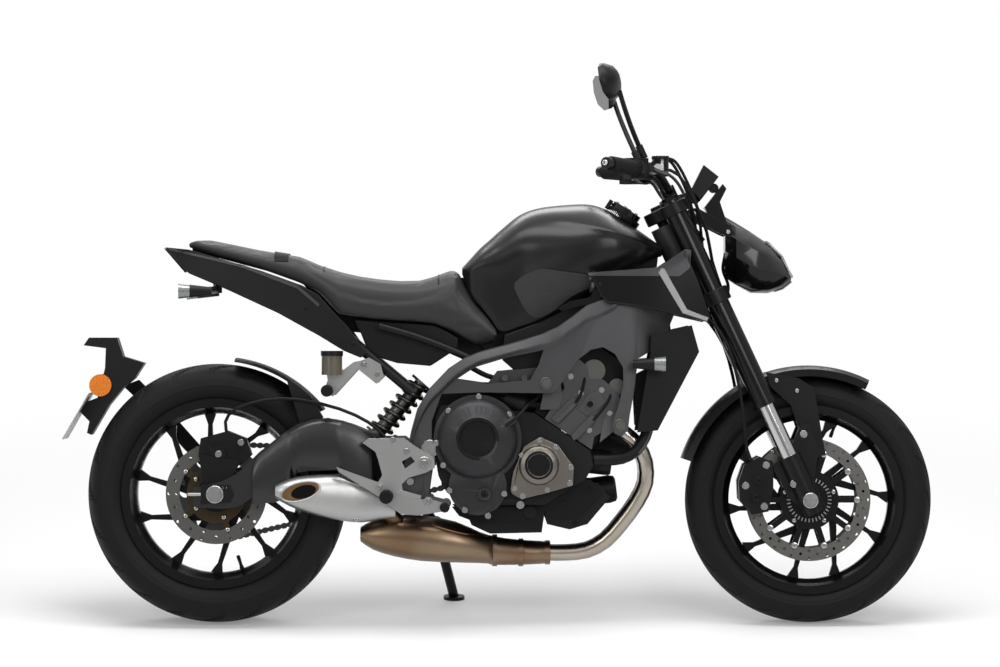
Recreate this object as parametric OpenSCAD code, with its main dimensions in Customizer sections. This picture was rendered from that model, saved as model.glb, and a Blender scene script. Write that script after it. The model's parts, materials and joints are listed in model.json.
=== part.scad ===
// Standard motorcycle, standing on its side stand
// X forward, Y to the rider's left, Z up; outlines are drawn upright and then leaned

/* [Wheels] */
// Distance between the axles
wheelbase = 1440; // [1380:5:1500]
// Rim size across the bead seats
rim_d = 432; // [420:1:440]
// Section height of the front tyre
front_tyre_h = 84; // [78:1:90]
// Section width of the front tyre
front_tyre_w = 120; // [114:1:126]
// Section height of the rear tyre
rear_tyre_h = 99; // [92:1:104]
// Section width of the rear tyre
rear_tyre_w = 180; // [172:1:184]
// Front rim width between the flanges
front_rim_w = 89; // [84:1:94]
// Rear rim width between the flanges
rear_rim_w = 140; // [132:1:144]
// Front brake disc size
front_disc_d = 298; // [290:1:304]
// Rear brake disc size
rear_disc_d = 245; // [238:1:250]
// Axle size
axle_d = 25; // [22:1:28]

/* [Steering] */
// Head angle from the upright
rake = 25; // [23:0.5:26]
// Distance from the steering line to the fork legs
fork_offset = 33; // [30:1:36]
// Distance between the fork legs
fork_spread = 210; // [206:1:214]
// Outer tube size of the fork
fork_d = 54; // [50:1:56]
// Slider size of the fork
slider_d = 41; // [38:1:43]
// Steering lock each way
lock = 30; // [24:1:34]
// Handlebar size
bar_d = 22; // [20:1:25]
// Width over the bar ends
bar_w = 814; // [780:2:840]

/* [Body] */
// Height that the side outlines are drawn to
body_h = 1000; // [970:5:1030]
// Fuel cap size
cap_d = 76; // [70:1:80]
// Number plate width
plate_w = 200; // [180:5:220]
// Header pipe size
pipe_d = 38; // [34:1:40]
// Engine case width
case_w = 280; // [270:2:284]
// Thread size of the paddock stand holes
spool_d = 6; // [5:1:8]

/* [Side stand] */
// Lean to the left on the stand
lean = 10; // [9:0.5:11]
// Leg size of the side stand
leg_d = 24; // [20:1:28]

/* [Finish] */
// Facets of a full circle
round_n = 72; // [48:8:120]
// Sides of a swept tube
tube_n = 12; // [8:2:16]

/* [Hidden] */
// Node that is drawn alone
// Every node in the assembly

// Places that the tables of shares are drawn for
unit_size = body_h;
wheelbase_share = 1.44;
front_axle_share = 0.3;
rear_axle_share = 0.315;
head_share = [1.08721, 0.97847];
tail_share = 0.1;

// Fits and overruns
gap = 0.4;
run_gap = 0.1;
over = 2;
reach = 1600;
steer_clear = 6;
steps = 2;

// Wheel centres
front_r = rim_d / 2 + front_tyre_h;
rear_r = rim_d / 2 + rear_tyre_h;
axle_r = axle_d / 2;
front_unit = front_r / front_axle_share;
rear_unit = rear_r / rear_axle_share;

// Tyre sections, width and height shares from the bead to the crown
flange_h = 14;
flange_t = 7;
bead_t = 9;
tyre_out_shares = [[0.93, 0.28], [0.99, 0.42], [1, 0.52], [0.97, 0.64], [0.89, 0.76], [0.74, 0.865],
  [0.52, 0.94], [0.27, 0.985], [0, 1]];
tyre_in_shares = [[0, 0.88], [0.3, 0.86], [0.55, 0.8], [0.75, 0.71], [0.84, 0.61], [0.86, 0.5], [0.82, 0.36]];

// Wheels
well_share = 0.36;
well_drop = 14;
rim_wall = 8;
seat_drop = 3;
edge_drop = 6;
hub_r = 44;
front_hub_w = 131;
rear_hub_w = 150;
hub_end_r = 30;
hub_flange_r = 62;
spoke_t = 24;
spoke_w = 11;
spoke_flare = 30;
spoke_flare_share = 0.86;
spoke_far = 58;
spoke_near = 16;
spoke_pair = 30.5;
pair_angle = 72;
pairs = 5;
front_spoke_at = 1.5;
rear_spoke_at = 197.6;
rim_bite = 6;

// Brake discs
disc_t = 5;
front_disc_y = 62;
disc_band = 32;
carrier_t = 8;
carrier_r = 58;
carrier_w = 14;
carrier_arms = 10;
hole_r = 3.5;
hole_n = 16;
hole_rows_shares = [[0.22, 0], [0.5, 0.5], [0.78, 0]];
holes_per_arm = 2;
rear_disc_y = 72;
rear_band = 34;
rear_arms = 5;
disc_bite = 3;

// Sprocket and chain
sprocket_y = 104;
sprocket_t = 6;
sprocket_r = 110;
sprocket_window_r = 14;
sprocket_window_at = 84;
sprocket_windows = 6;
sprocket_teeth = 45;
tooth_h = 6;
tooth_shares = [0.1, 0.4, 0.6, 0.9];
sprocket_hub_r = 62;
chain_w = 14;
chain_pitch = 15.9;
link_r = 7;
link_neck = 4.2;
link_flat = 3;
chain_clear = 1;
drive_r = 42;
drive_at_share = [0.548, 0.368];

// Main frame, side outline, window and plan strip
spar_shares = [[0.455, 0.371], [0.474, 0.468], [0.489, 0.522], [0.518, 0.571], [0.565, 0.62], [0.604, 0.646],
  [0.645, 0.662], [0.713, 0.68], [0.787, 0.702], [0.831, 0.722], [0.867, 0.748], [0.898, 0.772],
  [0.938, 0.786], [1.031, 0.842], [1.085, 0.868], [1.147, 0.803], [1.118, 0.765], [1.095, 0.71], [1.058, 0.664],
  [1.024, 0.644], [1.017, 0.603], [1.011, 0.554], [1.002, 0.505], [0.998, 0.47], [0.984, 0.456],
  [0.966, 0.462], [0.96, 0.484], [0.975, 0.53], [0.987, 0.58], [0.986, 0.622], [0.966, 0.655],
  [0.938, 0.671], [0.909, 0.665], [0.882, 0.645], [0.856, 0.612], [0.832, 0.576], [0.816, 0.561],
  [0.787, 0.56], [0.64, 0.562], [0.548, 0.558], [0.524, 0.493], [0.524, 0.371], [0.512, 0.285],
  [0.462, 0.272], [0.44, 0.318]];
window_shares = [[0.584, 0.593], [0.628, 0.622], [0.71, 0.647], [0.794, 0.664], [0.782, 0.628], [0.762, 0.592],
  [0.66, 0.582]];
spar_out_shares = [[0.43, 0.146], [0.53, 0.147], [0.64, 0.156], [0.76, 0.17], [0.88, 0.177], [0.93, 0.173],
  [1, 0.168], [1.03, 0.16], [1.07, 0.13], [1.11, 0.09], [1.17, 0.056]];
spar_in_shares = [[1.17, 0], [1.12, 0], [1.085, 0.05], [1.05, 0.1], [1.02, 0.137], [0.97, 0.142],
  [0.88, 0.147], [0.76, 0.141], [0.64, 0.126], [0.53, 0.118], [0.43, 0.117]];
head_r = 38;
stem_r = 17;
pivot_share = [0.472, 0.346];
pivot_r = 24;
pivot_pin_r = 10;
mount_shares = [[0.814, 0.57], [0.978, 0.482]];
mount_r = 12;
mount_in_share = 0.15;
web_shares = [[0.65, 0.57], [0.682, 0.612], [0.785, 0.622], [0.768, 0.57]];
web_in_share = 0.126;
web_out_share = 0.136;
web_bolt_shares = [[0.701, 0.596], [0.748, 0.596]];
web_bolt_r = 11;
web_bolt_t = 6;
pivot_boss_r = 32;
pivot_boss_t = 4;

// Swingarm
arm_right_shares = [[-0.052, 0.33], [0.016, 0.346], [0.055, 0.366], [0.108, 0.418], [0.164, 0.462], [0.201, 0.485],
  [0.238, 0.497], [0.274, 0.5], [0.328, 0.486], [0.384, 0.462], [0.445, 0.42], [0.495, 0.372],
  [0.5, 0.342], [0.48, 0.32], [0.44, 0.332], [0.372, 0.364], [0.299, 0.374], [0.225, 0.372],
  [0.2, 0.367], [0.165, 0.358], [0.14, 0.345], [0.108, 0.317], [0.055, 0.285], [0.018, 0.28], [-0.052, 0.284]];
arm_left_shares = [[-0.052, 0.338], [0.02, 0.35], [0.3, 0.372], [0.43, 0.382], [0.495, 0.37], [0.502, 0.346],
  [0.49, 0.324], [0.44, 0.314], [0.3, 0.302], [0.02, 0.284], [-0.052, 0.288]];
arm_out_shares = [[-0.06, 0.143], [0.3, 0.143], [0.36, 0.136], [0.43, 0.106], [0.51, 0.1]];
arm_in_shares = [[0.51, 0.062], [0.42, 0.066], [0.345, 0.1], [0.3, 0.119], [-0.06, 0.119]];
brace_shares = [[0.352, 0.36], [0.352, 0.43], [0.4, 0.43], [0.42, 0.37]];
brace_half_share = 0.09;
spool_share = [0.03, 0.302];
spool_deep = 20;

// Rear shock
shock_low_share = [0.385, 0.455];
shock_high_share = [0.5, 0.585];
shock_r = 17;
cup_wall = 6;
coil_r = 30;
coil_wire = 5;
coil_steps = 12;
coil_turns = 7;

// Crankcase and cylinders
case_shares = [[0.534, 0.5], [0.546, 0.528], [0.6, 0.536], [0.66, 0.532], [0.7, 0.52], [0.772, 0.512],
  [0.908, 0.42], [0.915, 0.385], [0.895, 0.35], [0.85, 0.326], [0.8, 0.29], [0.6, 0.29], [0.56, 0.32], [0.54, 0.36],
  [0.53, 0.42]];
sump_shares = [[0.6, 0.29], [0.8, 0.29], [0.79, 0.222], [0.665, 0.219], [0.62, 0.24]];
sump_half_share = 0.11;
filter_shares = [[0.786, 0.291], [0.822, 0.304], [0.855, 0.311], [0.891, 0.343], [0.927, 0.34], [0.956, 0.307],
  [0.901, 0.242], [0.858, 0.229], [0.803, 0.242]];
filter_half_share = 0.104;
plug_shares = [[0.738, 0.29, 11], [0.762, 0.271, 16]];
plug_t = 8;
pocket_r = 66;
pocket_y = 90;
cylinder_shares = [[0.773, 0.514], [0.83, 0.6], [0.866, 0.636], [0.89, 0.662], [0.93, 0.672], [0.985, 0.634],
  [1.01, 0.588], [1, 0.553], [0.975, 0.515], [0.91, 0.4225]];
cylinder_half_share = 0.112;
face_shares = [[0.797, 0.498], [0.845, 0.572], [0.839, 0.598], [0.881, 0.641], [0.901, 0.624], [0.904, 0.595],
  [0.94, 0.592], [0.976, 0.556], [0.982, 0.536], [0.969, 0.484], [0.917, 0.454], [0.911, 0.4226]];
face_out_share = 0.13;
stud_shares = [[[0.826, 0.49], [0.871, 0.536]], [[0.871, 0.451], [0.914, 0.494]]];
stud_r = 8;
cam_shares = [[0.917, 0.614, 27], [0.972, 0.575, 20]];
cam_out_share = 0.124;
bung_share = [0.907, 0.533];
bung_r = 13;
bung_t = 5;
ear_shares = [[0.94, 0.5], [0.985, 0.52], [0.996, 0.5], [0.988, 0.464], [0.962, 0.466], [0.93, 0.44]];
ear_in_share = 0.1117;
ear_out_share = 0.134;
rear_ear_shares = [[0.786, 0.52], [0.796, 0.575], [0.814, 0.592], [0.836, 0.582], [0.84, 0.55], [0.83, 0.52]];

// Clutch cover, pickup cover and left covers, domes from the middle out
cover_at_share = [0.635, 0.45];
cover_r = 106;
cover_t = 16;
dome_r = 97;
dome_t = 38;
dome_shares = [[0, 0.84], [0.44, 0.84], [0.46, 1], [0.53, 1], [0.56, 0.94], [0.85, 0.6], [0.95, 0.36], [1, 0]];
cover_bolt_shares = [[0.638, 0.551], [0.565, 0.517], [0.535, 0.439], [0.552, 0.386], [0.567, 0.325], [0.604, 0.278],
  [0.66, 0.264], [0.699, 0.317], [0.711, 0.508]];
cover_boss_r = 8;
cover_boss_t = 19;
filler_share = [0.652, 0.316];
filler_r = 15;
filler_t = 12;
release_shares = [[0.682, 0.469], [0.726, 0.498]];
release_r = 10;
release_out = 18;
cover_low_share = [0.635, 0.335];
cover_low_r = 70;
pickup_at_share = [0.783, 0.386];
pickup_shares = [[0.714, 0.326], [0.721, 0.37], [0.747, 0.431], [0.786, 0.454], [0.829, 0.435], [0.868, 0.382],
  [0.865, 0.337], [0.803, 0.319], [0.741, 0.304], [0.718, 0.317]];
pickup_t = 22;
pickup_dome_r = 49;
pickup_dome_t = 20;
pickup_dome_shares = [[0, 0.82], [0.54, 0.82], [0.57, 1], [0.7, 1], [0.92, 0.7], [1, 0]];
generator_at_share = [0.72, 0.43];
generator_r = 92;
generator_t = 22;
generator_dome_r = 76;
generator_dome_t = 22;
generator_dome_shares = [[0, 0.9], [0.42, 0.9], [0.46, 1], [0.6, 1], [0.88, 0.72], [0.97, 0.4], [1, 0]];
chain_cover_shares = [[0.536, 0.435], [0.56, 0.47], [0.61, 0.475], [0.62, 0.43], [0.62, 0.34], [0.59, 0.31],
  [0.545, 0.33]];
chain_cover_t = 24;

// Exhaust
header_shares = [[0.9563, 1, 0.4866], [0.9886, 1, 0.464], [1.022, 0.99, 0.434], [1.042, 0.96, 0.392],
  [1.043, 0.9, 0.342], [1.022, 0.82, 0.295], [0.985, 0.7, 0.244], [0.945, 0.58, 0.2], [0.9, 0.5, 0.176],
  [0.85, 0.45, 0.17], [0.812, 0.44, 0.17]];
header_y = 90;
collar_r = 21.4;
collar_share = 0.35;
collector_shares = [[0.8115, 0.06, 0.17, 0.026], [0.79, 0.06, 0.17, 0.028], [0.75, 0.046, 0.17, 0.03],
  [0.7, 0.038, 0.172, 0.033], [0.664, 0.04, 0.176, 0.036]];
clamp_ring_shares = [[0.8045, 0.0635, 0.17, 0.0295], [0.74, 0.047, 0.17, 0.034], [0.676, 0.043, 0.175, 0.039]];
clamp_ring_w = 12;
chamber_shares = [[0.672, 0.042, 0.176, 0.034], [0.64, 0.075, 0.182, 0.038], [0.58, 0.098, 0.196, 0.05],
  [0.5, 0.102, 0.205, 0.056], [0.43, 0.098, 0.211, 0.05], [0.38, 0.088, 0.213, 0.036], [0.35, 0.074, 0.215, 0.018]];
chamber_y = -14;
link_from_share = [0.45, -0.06, 0.235];
link_to_share = [0.4, -0.118, 0.29];
pipe_link_r = 20;
muffler_shares = [[0.436, 0.03, 0.277, 0.02, -0.116], [0.4, 0.036, 0.295, 0.042, -0.112],
  [0.35, 0.036, 0.302, 0.056, -0.113], [0.3, 0.04, 0.308, 0.056, -0.124], [0.25, 0.042, 0.313, 0.05, -0.139],
  [0.2, 0.042, 0.318, 0.04, -0.148], [0.165, 0.036, 0.321, 0.026, -0.152], [0.147, 0.028, 0.322, 0.016, -0.153]];
exhaust_n = 20;
exhaust_power = 2.6;
outlet_at_share = [0.208, -0.25, 0.323];
outlet_a_share = 0.046;
outlet_b_share = 0.02;
outlet_tilt = -15;
outlet_n = 24;
outlet_deep = 84;

// Radiator and hoses
radiator_shares = [[1.141, 0.672], [1.152, 0.655], [1.056, 0.47], [1.036, 0.47], [1.03, 0.488], [1.125, 0.673]];
radiator_half_share = 0.15;
shroud_shares = [[1.152, 0.724], [1.17, 0.66], [1.07, 0.47], [1.02, 0.465], [1.036, 0.56], [1.052, 0.655],
  [1.054, 0.7], [1.1, 0.712]];
shroud_t = 10;
radiator_boss_share = [1.068, 0.692];
radiator_boss_r = 6;
radiator_boss_in_share = 0.1372;
hose_shares = [[0.9168, 0.126, 0.398], [0.95, 0.126, 0.398], [0.985, 0.127, 0.402], [1.018, 0.124, 0.42],
  [1.04, 0.118, 0.452], [1.048, 0.114, 0.48]];
hose_r = 14;
fin_w = 4;
fin_deep = 5;
fins = 18;
fin_half_share = 0.135;

// Fuel tank rows of length, low, high and half width
tank_shares = [[0.597, 0.848, 0.864, 0.07], [0.616, 0.798, 0.885, 0.092], [0.64, 0.772, 0.911, 0.1],
  [0.665, 0.742, 0.933, 0.105], [0.692, 0.71, 0.957, 0.109], [0.738, 0.722, 0.993, 0.117],
  [0.787, 0.74, 1.01, 0.132], [0.86, 0.778, 1.018, 0.15], [0.909, 0.806, 1.018, 0.156],
  [0.948, 0.832, 1.006, 0.154], [0.982, 0.848, 0.986, 0.146], [1.031, 0.872, 0.953, 0.118],
  [1.062, 0.886, 0.931, 0.09], [1.082, 0.892, 0.916, 0.071]];
tank_front_shares = [[0, 0.8], [0.12, 0.9], [0.32, 0.98], [0.5, 1], [0.64, 0.97], [0.76, 0.84], [0.9, 0.56],
  [0.975, 0.27], [1, 0]];
tank_rear_shares = [[0, 0.86], [0.12, 0.9], [0.32, 0.92], [0.52, 0.95], [0.7, 1], [0.84, 0.9], [0.93, 0.64],
  [0.982, 0.32], [1, 0]];
tank_turn_shares = [0.68, 0.9];
cap_at_share = [0.99, 0.99];
cap_tilt = 33;
cap_t = 14;
neck_t = 5;
neck_wall = 6;
neck_sink = 45;
cap_pin_r = 3;
lid_slack = 0.5;
pin_back = 6;
pin_up = 6;
lug_in = 9;
lug_out = 15;
lug_deep = 24;

// Tank covers, rows of length, low and high
side_cover_shares = [[0.724, 0.812, 0.826], [0.742, 0.775, 0.842], [0.764, 0.746, 0.853], [0.79, 0.744, 0.861],
  [0.823, 0.762, 0.857], [0.86, 0.792, 0.852], [0.897, 0.81, 0.847], [0.92, 0.822, 0.838]];
side_cover_t = 7;
side_cover_n = 5;
cover_slack = 1.3;

// Air scoops
scoop_shares = [[0.905, 0.851], [1.079, 0.864], [1.126, 0.9], [1.14, 0.893], [1.168, 0.83], [1.197, 0.742],
  [1.19, 0.731], [1.109, 0.75], [1.031, 0.768], [0.95, 0.778], [0.932, 0.794]];
scoop_out_shares = [[0.89, 0.186], [0.95, 0.19], [1.05, 0.19], [1.12, 0.184], [1.21, 0.172]];
scoop_in_shares = [[1.21, 0.158], [1.12, 0.169], [1.05, 0.175], [0.95, 0.176], [0.89, 0.172]];

// Seat rows of length, low, high and half width
seat_shares = [[-0.07, 0.914, 0.924, 0.045], [-0.05, 0.908, 0.932, 0.066], [0.006, 0.892, 0.922, 0.086],
  [0.103, 0.863, 0.902, 0.102], [0.201, 0.828, 0.886, 0.114], [0.25, 0.804, 0.865, 0.122],
  [0.299, 0.752, 0.849, 0.128], [0.347, 0.744, 0.838, 0.13], [0.396, 0.738, 0.831, 0.13],
  [0.445, 0.735, 0.827, 0.127], [0.494, 0.732, 0.828, 0.121], [0.53, 0.728, 0.838, 0.115],
  [0.56, 0.716, 0.85, 0.11], [0.58, 0.706, 0.857, 0.107], [0.6, 0.694, 0.818, 0.107],
  [0.63, 0.678, 0.778, 0.108], [0.66, 0.682, 0.74, 0.109], [0.682, 0.688, 0.709, 0.109]];
seat_section_shares = [[0, 0.86], [0.15, 0.92], [0.4, 0.98], [0.65, 1], [0.8, 0.97], [0.9, 0.86], [0.96, 0.66],
  [0.99, 0.36], [1, 0]];

// Rear panels
tail_shares = [[-0.126, 0.914], [-0.067, 0.908], [0.006, 0.887], [0.103, 0.858], [0.201, 0.823], [0.248, 0.799],
  [0.29, 0.752], [0.32, 0.722], [0.367, 0.656], [0.352, 0.645], [0.311, 0.662], [0.25, 0.699],
  [0.152, 0.753], [0.03, 0.809], [-0.067, 0.85]];
tail_out_shares = [[-0.14, 0.04], [-0.06, 0.075], [0.05, 0.098], [0.2, 0.12], [0.38, 0.13]];
tail_in_shares = [[0.38, 0.12], [0.2, 0.11], [0.05, 0.088], [-0.06, 0.064], [-0.14, 0.03]];
tray_shares = [[-0.0974, 0.9046], [-0.04, 0.884], [0.1, 0.84], [0.2, 0.805], [0.22, 0.78], [0.15, 0.762], [0.03, 0.82],
  [-0.0654, 0.8566]];
tray_half_shares = [[-0.11, 0.04], [-0.06, 0.0625], [0.05, 0.0865], [0.2, 0.1085], [0.3, 0.1135], [0.3, 0], [-0.11, 0]];
battery_shares = [[0.338, 0.738], [0.396, 0.733], [0.494, 0.727], [0.53, 0.723], [0.558, 0.71], [0.588, 0.692],
  [0.586, 0.668], [0.52, 0.625], [0.44, 0.632], [0.372, 0.652]];
battery_half_share = 0.09;
air_box_shares = [[0.694, 0.64], [0.7, 0.7], [0.738, 0.714], [0.787, 0.732], [0.86, 0.769], [0.909, 0.797], [0.948, 0.822],
  [0.99, 0.83], [1, 0.78], [0.985, 0.72], [0.95, 0.69], [0.9, 0.682], [0.85, 0.662], [0.81, 0.62], [0.74, 0.6]];
air_box_half_share = 0.11;

// Subframe tubes
rail_shares = [[0.31, 0.1025, 0.702], [0.345, 0.1035, 0.672], [0.42, 0.105, 0.61], [0.478, 0.105, 0.561]];
rail_r = 12;
upper_rail_shares = [[0.396, 0.112, 0.722], [0.48, 0.112, 0.698], [0.56, 0.1125, 0.668], [0.612, 0.1125, 0.645]];
upper_rail_r = 9;

// Marker lamps
tail_lamp_shares = [[-0.13, 0.912], [-0.098, 0.905], [-0.066, 0.857], [-0.078, 0.852]];
tail_lamp_half_share = 0.03;
indicator_len = 80;
indicator_r = 19;
indicator_share = 0.5;
indicator_stalk_r = 8;
front_indicator_share = [1.048, -0.2, 0.63];
front_stalk_y_share = 0.1604;
rear_indicator_share = [-0.045, -0.2, 0.806];
rear_stalk_share = [0, -0.066, 0.811];
rear_stub_top_share = 0.8274;
reflector_r = 27;
reflector_t = 8;
reflector_share = [-0.283, 0.578];

// Foot rests
bracket_shares = [[0.38, 0.44], [0.402, 0.452], [0.457, 0.452], [0.485, 0.432], [0.53, 0.405], [0.532, 0.38],
  [0.51, 0.368], [0.468, 0.356], [0.452, 0.34], [0.456, 0.318], [0.49, 0.305], [0.528, 0.302],
  [0.568, 0.292], [0.562, 0.276], [0.49, 0.265], [0.45, 0.268], [0.42, 0.29], [0.405, 0.305],
  [0.3, 0.37], [0.294, 0.382], [0.395, 0.345], [0.405, 0.362], [0.395, 0.4]];
bracket_y = 158;
bracket_t = 12;
bracket_hole_shares = [[0.452, 0.395], [0.474, 0.4075], [0.484, 0.395], [0.46, 0.378]];
pump_from_share = [0.431, -0.151, 0.36];
pump_to_share = [0.421, -0.151, 0.428];
pump_r = 10;
bracket_boss_shares = [[0.51, 0.39], [0.463, 0.42]];
bracket_boss_r = 13;
peg_share = [0.416, 0.312];
peg_r = 13;
peg_y = 272;
toe_share = [0.556, 0.285];
toe_y = 215;
toe_r = 9;
hanger_shares = [[0.26, 0.56], [0.272, 0.59], [0.268, 0.622], [0.292, 0.628], [0.305, 0.612], [0.335, 0.635],
  [0.352, 0.638], [0.372, 0.646], [0.4, 0.63], [0.408, 0.6], [0.39, 0.582], [0.345, 0.618], [0.285, 0.552]];
hanger_y = 117;
hanger_t = 10;
pillion_share = [0.272, 0.566];
pillion_y = 215;
pillion_r = 11;
cup_share = [0.283, 0.633];
cup_r = 25;
cup_h = 58;
cup_y = 150;
cup_cap_r = 27;
cup_cap_h = 12;

// Rear caliper
caliper_shares = [[-0.042, 0.405], [-0.036, 0.45], [0.03, 0.468], [0.075, 0.45], [0.088, 0.41], [0.06, 0.385], [0, 0.382]];
caliper_in_share = 0.052;
caliper_out_share = 0.112;
caliper_slot = 12;
slot_clear = 8;
slide_share = [0.008, 0.412];
slide_r = 18;
slide_out_share = 0.118;
rear_hose_shares = [[0.03, -0.1, 0.455], [0.024, -0.11, 0.49], [0.05, -0.133, 0.522], [0.12, -0.137, 0.543],
  [0.2, -0.137, 0.545], [0.3, -0.136, 0.522], [0.37, -0.14, 0.49], [0.41, -0.146, 0.455], [0.42, -0.15, 0.4335]];
rear_hose_r = 4;
hold_shares = [[-0.026, 0.305], [-0.04, 0.41], [0.06, 0.395], [0.03, 0.33], [0.022, 0.3]];
hold_in_share = 0.084;
hold_out_share = 0.1186;

// Rear fenders
hugger_low = 38;
hugger_high = 82;
hugger_lift = 14;
hugger_stay_shares = [[0.205, 0.4872], [0.238, 0.498], [0.262, 0.5]];
hugger_stay_turns = [46, 52, 59];
hugger_stay_in_share = 0.092;
hugger_stay_out_share = 0.126;
fender_t = 4;
fender_edge = 10;
arch_shares = [[1, 1, 0, 1], [0.333, 0.9, 1, 1], [0, 0.5, 1, 0]];
rear_fender_half_share = 0.1;
stay_shares = [[-0.02, 0.35], [0.02, 0.35], [-0.06, 0.44], [-0.14, 0.53], [-0.2, 0.59], [-0.24, 0.575], [-0.16, 0.5],
  [-0.09, 0.42]];
stay_y_share = 0.1434;
stay_t_share = 0.01;
flap_shares = [[-0.324, 0.675], [-0.311, 0.694], [-0.243, 0.694], [-0.228, 0.648], [-0.176, 0.632], [-0.2, 0.595],
  [-0.225, 0.575], [-0.262, 0.53], [-0.305, 0.457], [-0.316, 0.462], [-0.31, 0.49],
  [-0.3326, 0.513], [-0.3188, 0.537], [-0.29, 0.548], [-0.272, 0.62], [-0.27, 0.668]];
flap_half_share = 0.045;
bridge_shares = [[-0.218, 0.585], [-0.2, 0.602], [-0.225, 0.625], [-0.245, 0.61]];

// Number plate
plate_share = [-0.339, 0.503];
plate_h = 130;
plate_t = 2;
plate_tilt = 30;

// Fork and clamps along the steering line
slider_low = 60;
seal_at = 253;
clamp_gap = 238;
clamp_t = 30;
clamp_low_t = 34;
clamp_wall = 9;
clamp_web = 40;
cap_nut_r = 18;
cap_nut_h = 10;
head_gap = 12;
tube_out = 6;
tube_cap_r = 20;
tube_cap_h = 10;
seal_r = 29;
seal_h = 16;
foot_low = -34;
foot_high = 118;
foot_r = 27;
foot_lug_shares = [[1.43, 0.27], [1.39, 0.305], [1.3526, 0.372], [1.3526, 0.386], [1.372, 0.402], [1.4, 0.44],
  [1.418, 0.486], [1.44, 0.482], [1.462, 0.42], [1.45, 0.35]];
foot_lug_in_share = 0.0785;
foot_lug_out_share = 0.104;

// Front brakes
front_caliper_shares = [[1.27, 0.3], [1.268, 0.345], [1.282, 0.385], [1.318, 0.405], [1.352, 0.392], [1.352, 0.33],
  [1.34, 0.272], [1.3, 0.265]];
piston_shares = [[1.316, 0.347], [1.309, 0.306]];
piston_r = 14;
piston_t = 5;
front_caliper_in_share = 0.04;
front_caliper_out_share = 0.094;
front_caliper_slot = 13;
brake_hose_shares = [[1.302, 0.09, 0.392], [1.287, 0.112, 0.424], [1.276, 0.137, 0.52], [1.262, 0.141, 0.6],
  [1.24, 0.138, 0.675], [1.206, 0.128, 0.728], [1.186, 0.08, 0.748], [1.196, 0.02, 0.75]];
feed_hose_shares = [[1.0867, -0.2, 1.099], [1.12, -0.196, 1.085], [1.16, -0.16, 1.02], [1.19, -0.1, 0.95], [1.205, -0.05, 0.88],
  [1.226, -0.02, 0.82], [1.236, -0.01, 0.785], [1.222, 0, 0.752], [1.2, 0, 0.75]];
junction_share = [1.198, 0.75];
junction_r = 9;
junction_half = 24;
brake_hose_r = 4;

// Front fender
fender_low = 63;
fender_high = 162;
fender_lift = 22;
fender_half_share = 0.07;
fender_skirt = 26;
fender_stay_shares = [[1.335, 0.61], [1.415, 0.595], [1.452, 0.572], [1.472, 0.45], [1.48, 0.41], [1.44, 0.398],
  [1.418, 0.46], [1.395, 0.53], [1.345, 0.575]];
fender_stay_in_share = 0.0695;
fender_stay_out_share = 0.078;

// Handlebar path from the middle to the right end
bar_shares = [[1.098, 0, 1.052], [1.098, 0.03, 1.052], [1.098, 0.07, 1.053], [1.09, 0.11, 1.062], [1.076, 0.155, 1.082],
  [1.0625, 0.189, 1.0939]];
bar_root_share = [1.0625, 0.189, 1.0939];
bar_tip_share = [0.9404, 0, 1.1094];
riser_x = 41;
riser_y = 50;
riser_w = 32;
riser_h = 40;
perch_shares = [0.13, 0.26];
switch_shares = [0.28, 0.43];
grip_shares = [0.445, 0.91];
flange_shares = [0.436, 0.46];
flange_r = 22;
end_shares = [0.915, 0.935, 1];
end_neck_r = 10;
grip_r = 17;
bar_end_r = 14;
switch_r = 23;
perch_r = 20;
lever_shares = [[0.018, -0.005, 0], [0.04, 0, -0.004], [0.05, 0.03, -0.01], [0.046, 0.075, -0.012], [0.028, 0.13, -0.008],
  [0.012, 0.178, -0.002]];
lever_r = 6;
jar_share = [0.036, -0.012, -0.004];
jar_r = 20;
jar_h = 34;
pump_body_shares = [[0.03, -0.05, 0.002], [0.03, 0.02, 0.002]];
pump_body_r = 12;

// Mirrors
mirror_stem_shares = [[1.036, 0.238, 1.1245], [1.022, 0.242, 1.155], [1.002, 0.27, 1.202], [0.984, 0.315, 1.25],
  [0.974, 0.334, 1.282]];
mirror_socket_r = 9;
mirror_stem_r = 6;
mirror_at_share = [0.948, 0.345, 1.305];
mirror_face_shares = [[-0.064, -0.014], [-0.058, 0.028], [-0.034, 0.044], [0.02, 0.045], [0.052, 0.034], [0.064, 0.004],
  [0.05, -0.026], [0, -0.044], [-0.044, -0.042]];
mirror_rim = 8;
mirror_dome = 34;
mirror_rings_shares = [[0, 1], [0.25, 0.98], [0.6, 0.82], [0.9, 0.5], [1, 0.28]];
mirror_tilt = -12;
mirror_yaw = 14;

// Meter and headlight
meter_shares = [[1.153, 1.053], [1.184, 1.114], [1.221, 1.085], [1.177, 1.028]];
meter_half_share = 0.06;
meter_stay_shares = [[1.0965, 1.0168], [1.115, 1.0255], [1.17, 1.02], [1.18, 1.032], [1.16, 1.052], [1.11, 1.038],
  [1.094, 1.03]];
meter_stay_half_share = 0.02;
headlight_rows_shares = [[1.236, 0.842, 0.99, 0.07], [1.262, 0.824, 0.975, 0.105], [1.3, 0.803, 0.952, 0.118],
  [1.34, 0.802, 0.925, 0.114], [1.374, 0.812, 0.893, 0.1], [1.396, 0.829, 0.846, 0.078]];
headlight_section_shares = [[0, 0.46], [0.1, 0.78], [0.42, 1], [0.72, 0.84], [0.93, 0.44], [1, 0]];
lamp_stay_shares = [[1.1055, 0.9862], [1.155, 1.0084], [1.17, 1.008], [1.25, 0.965], [1.262, 0.93], [1.225, 0.945],
  [1.165, 0.975], [1.11, 0.972]];
cowl_shares = [[1.2, 0.988], [1.186, 1.01], [1.231, 1.068], [1.24, 1.056], [1.224, 1.024], [1.242, 0.97]];
cowl_half_share = 0.05;
lamp_stay_y_share = 0.074;
lamp_stay_t_share = 0.006;

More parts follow.
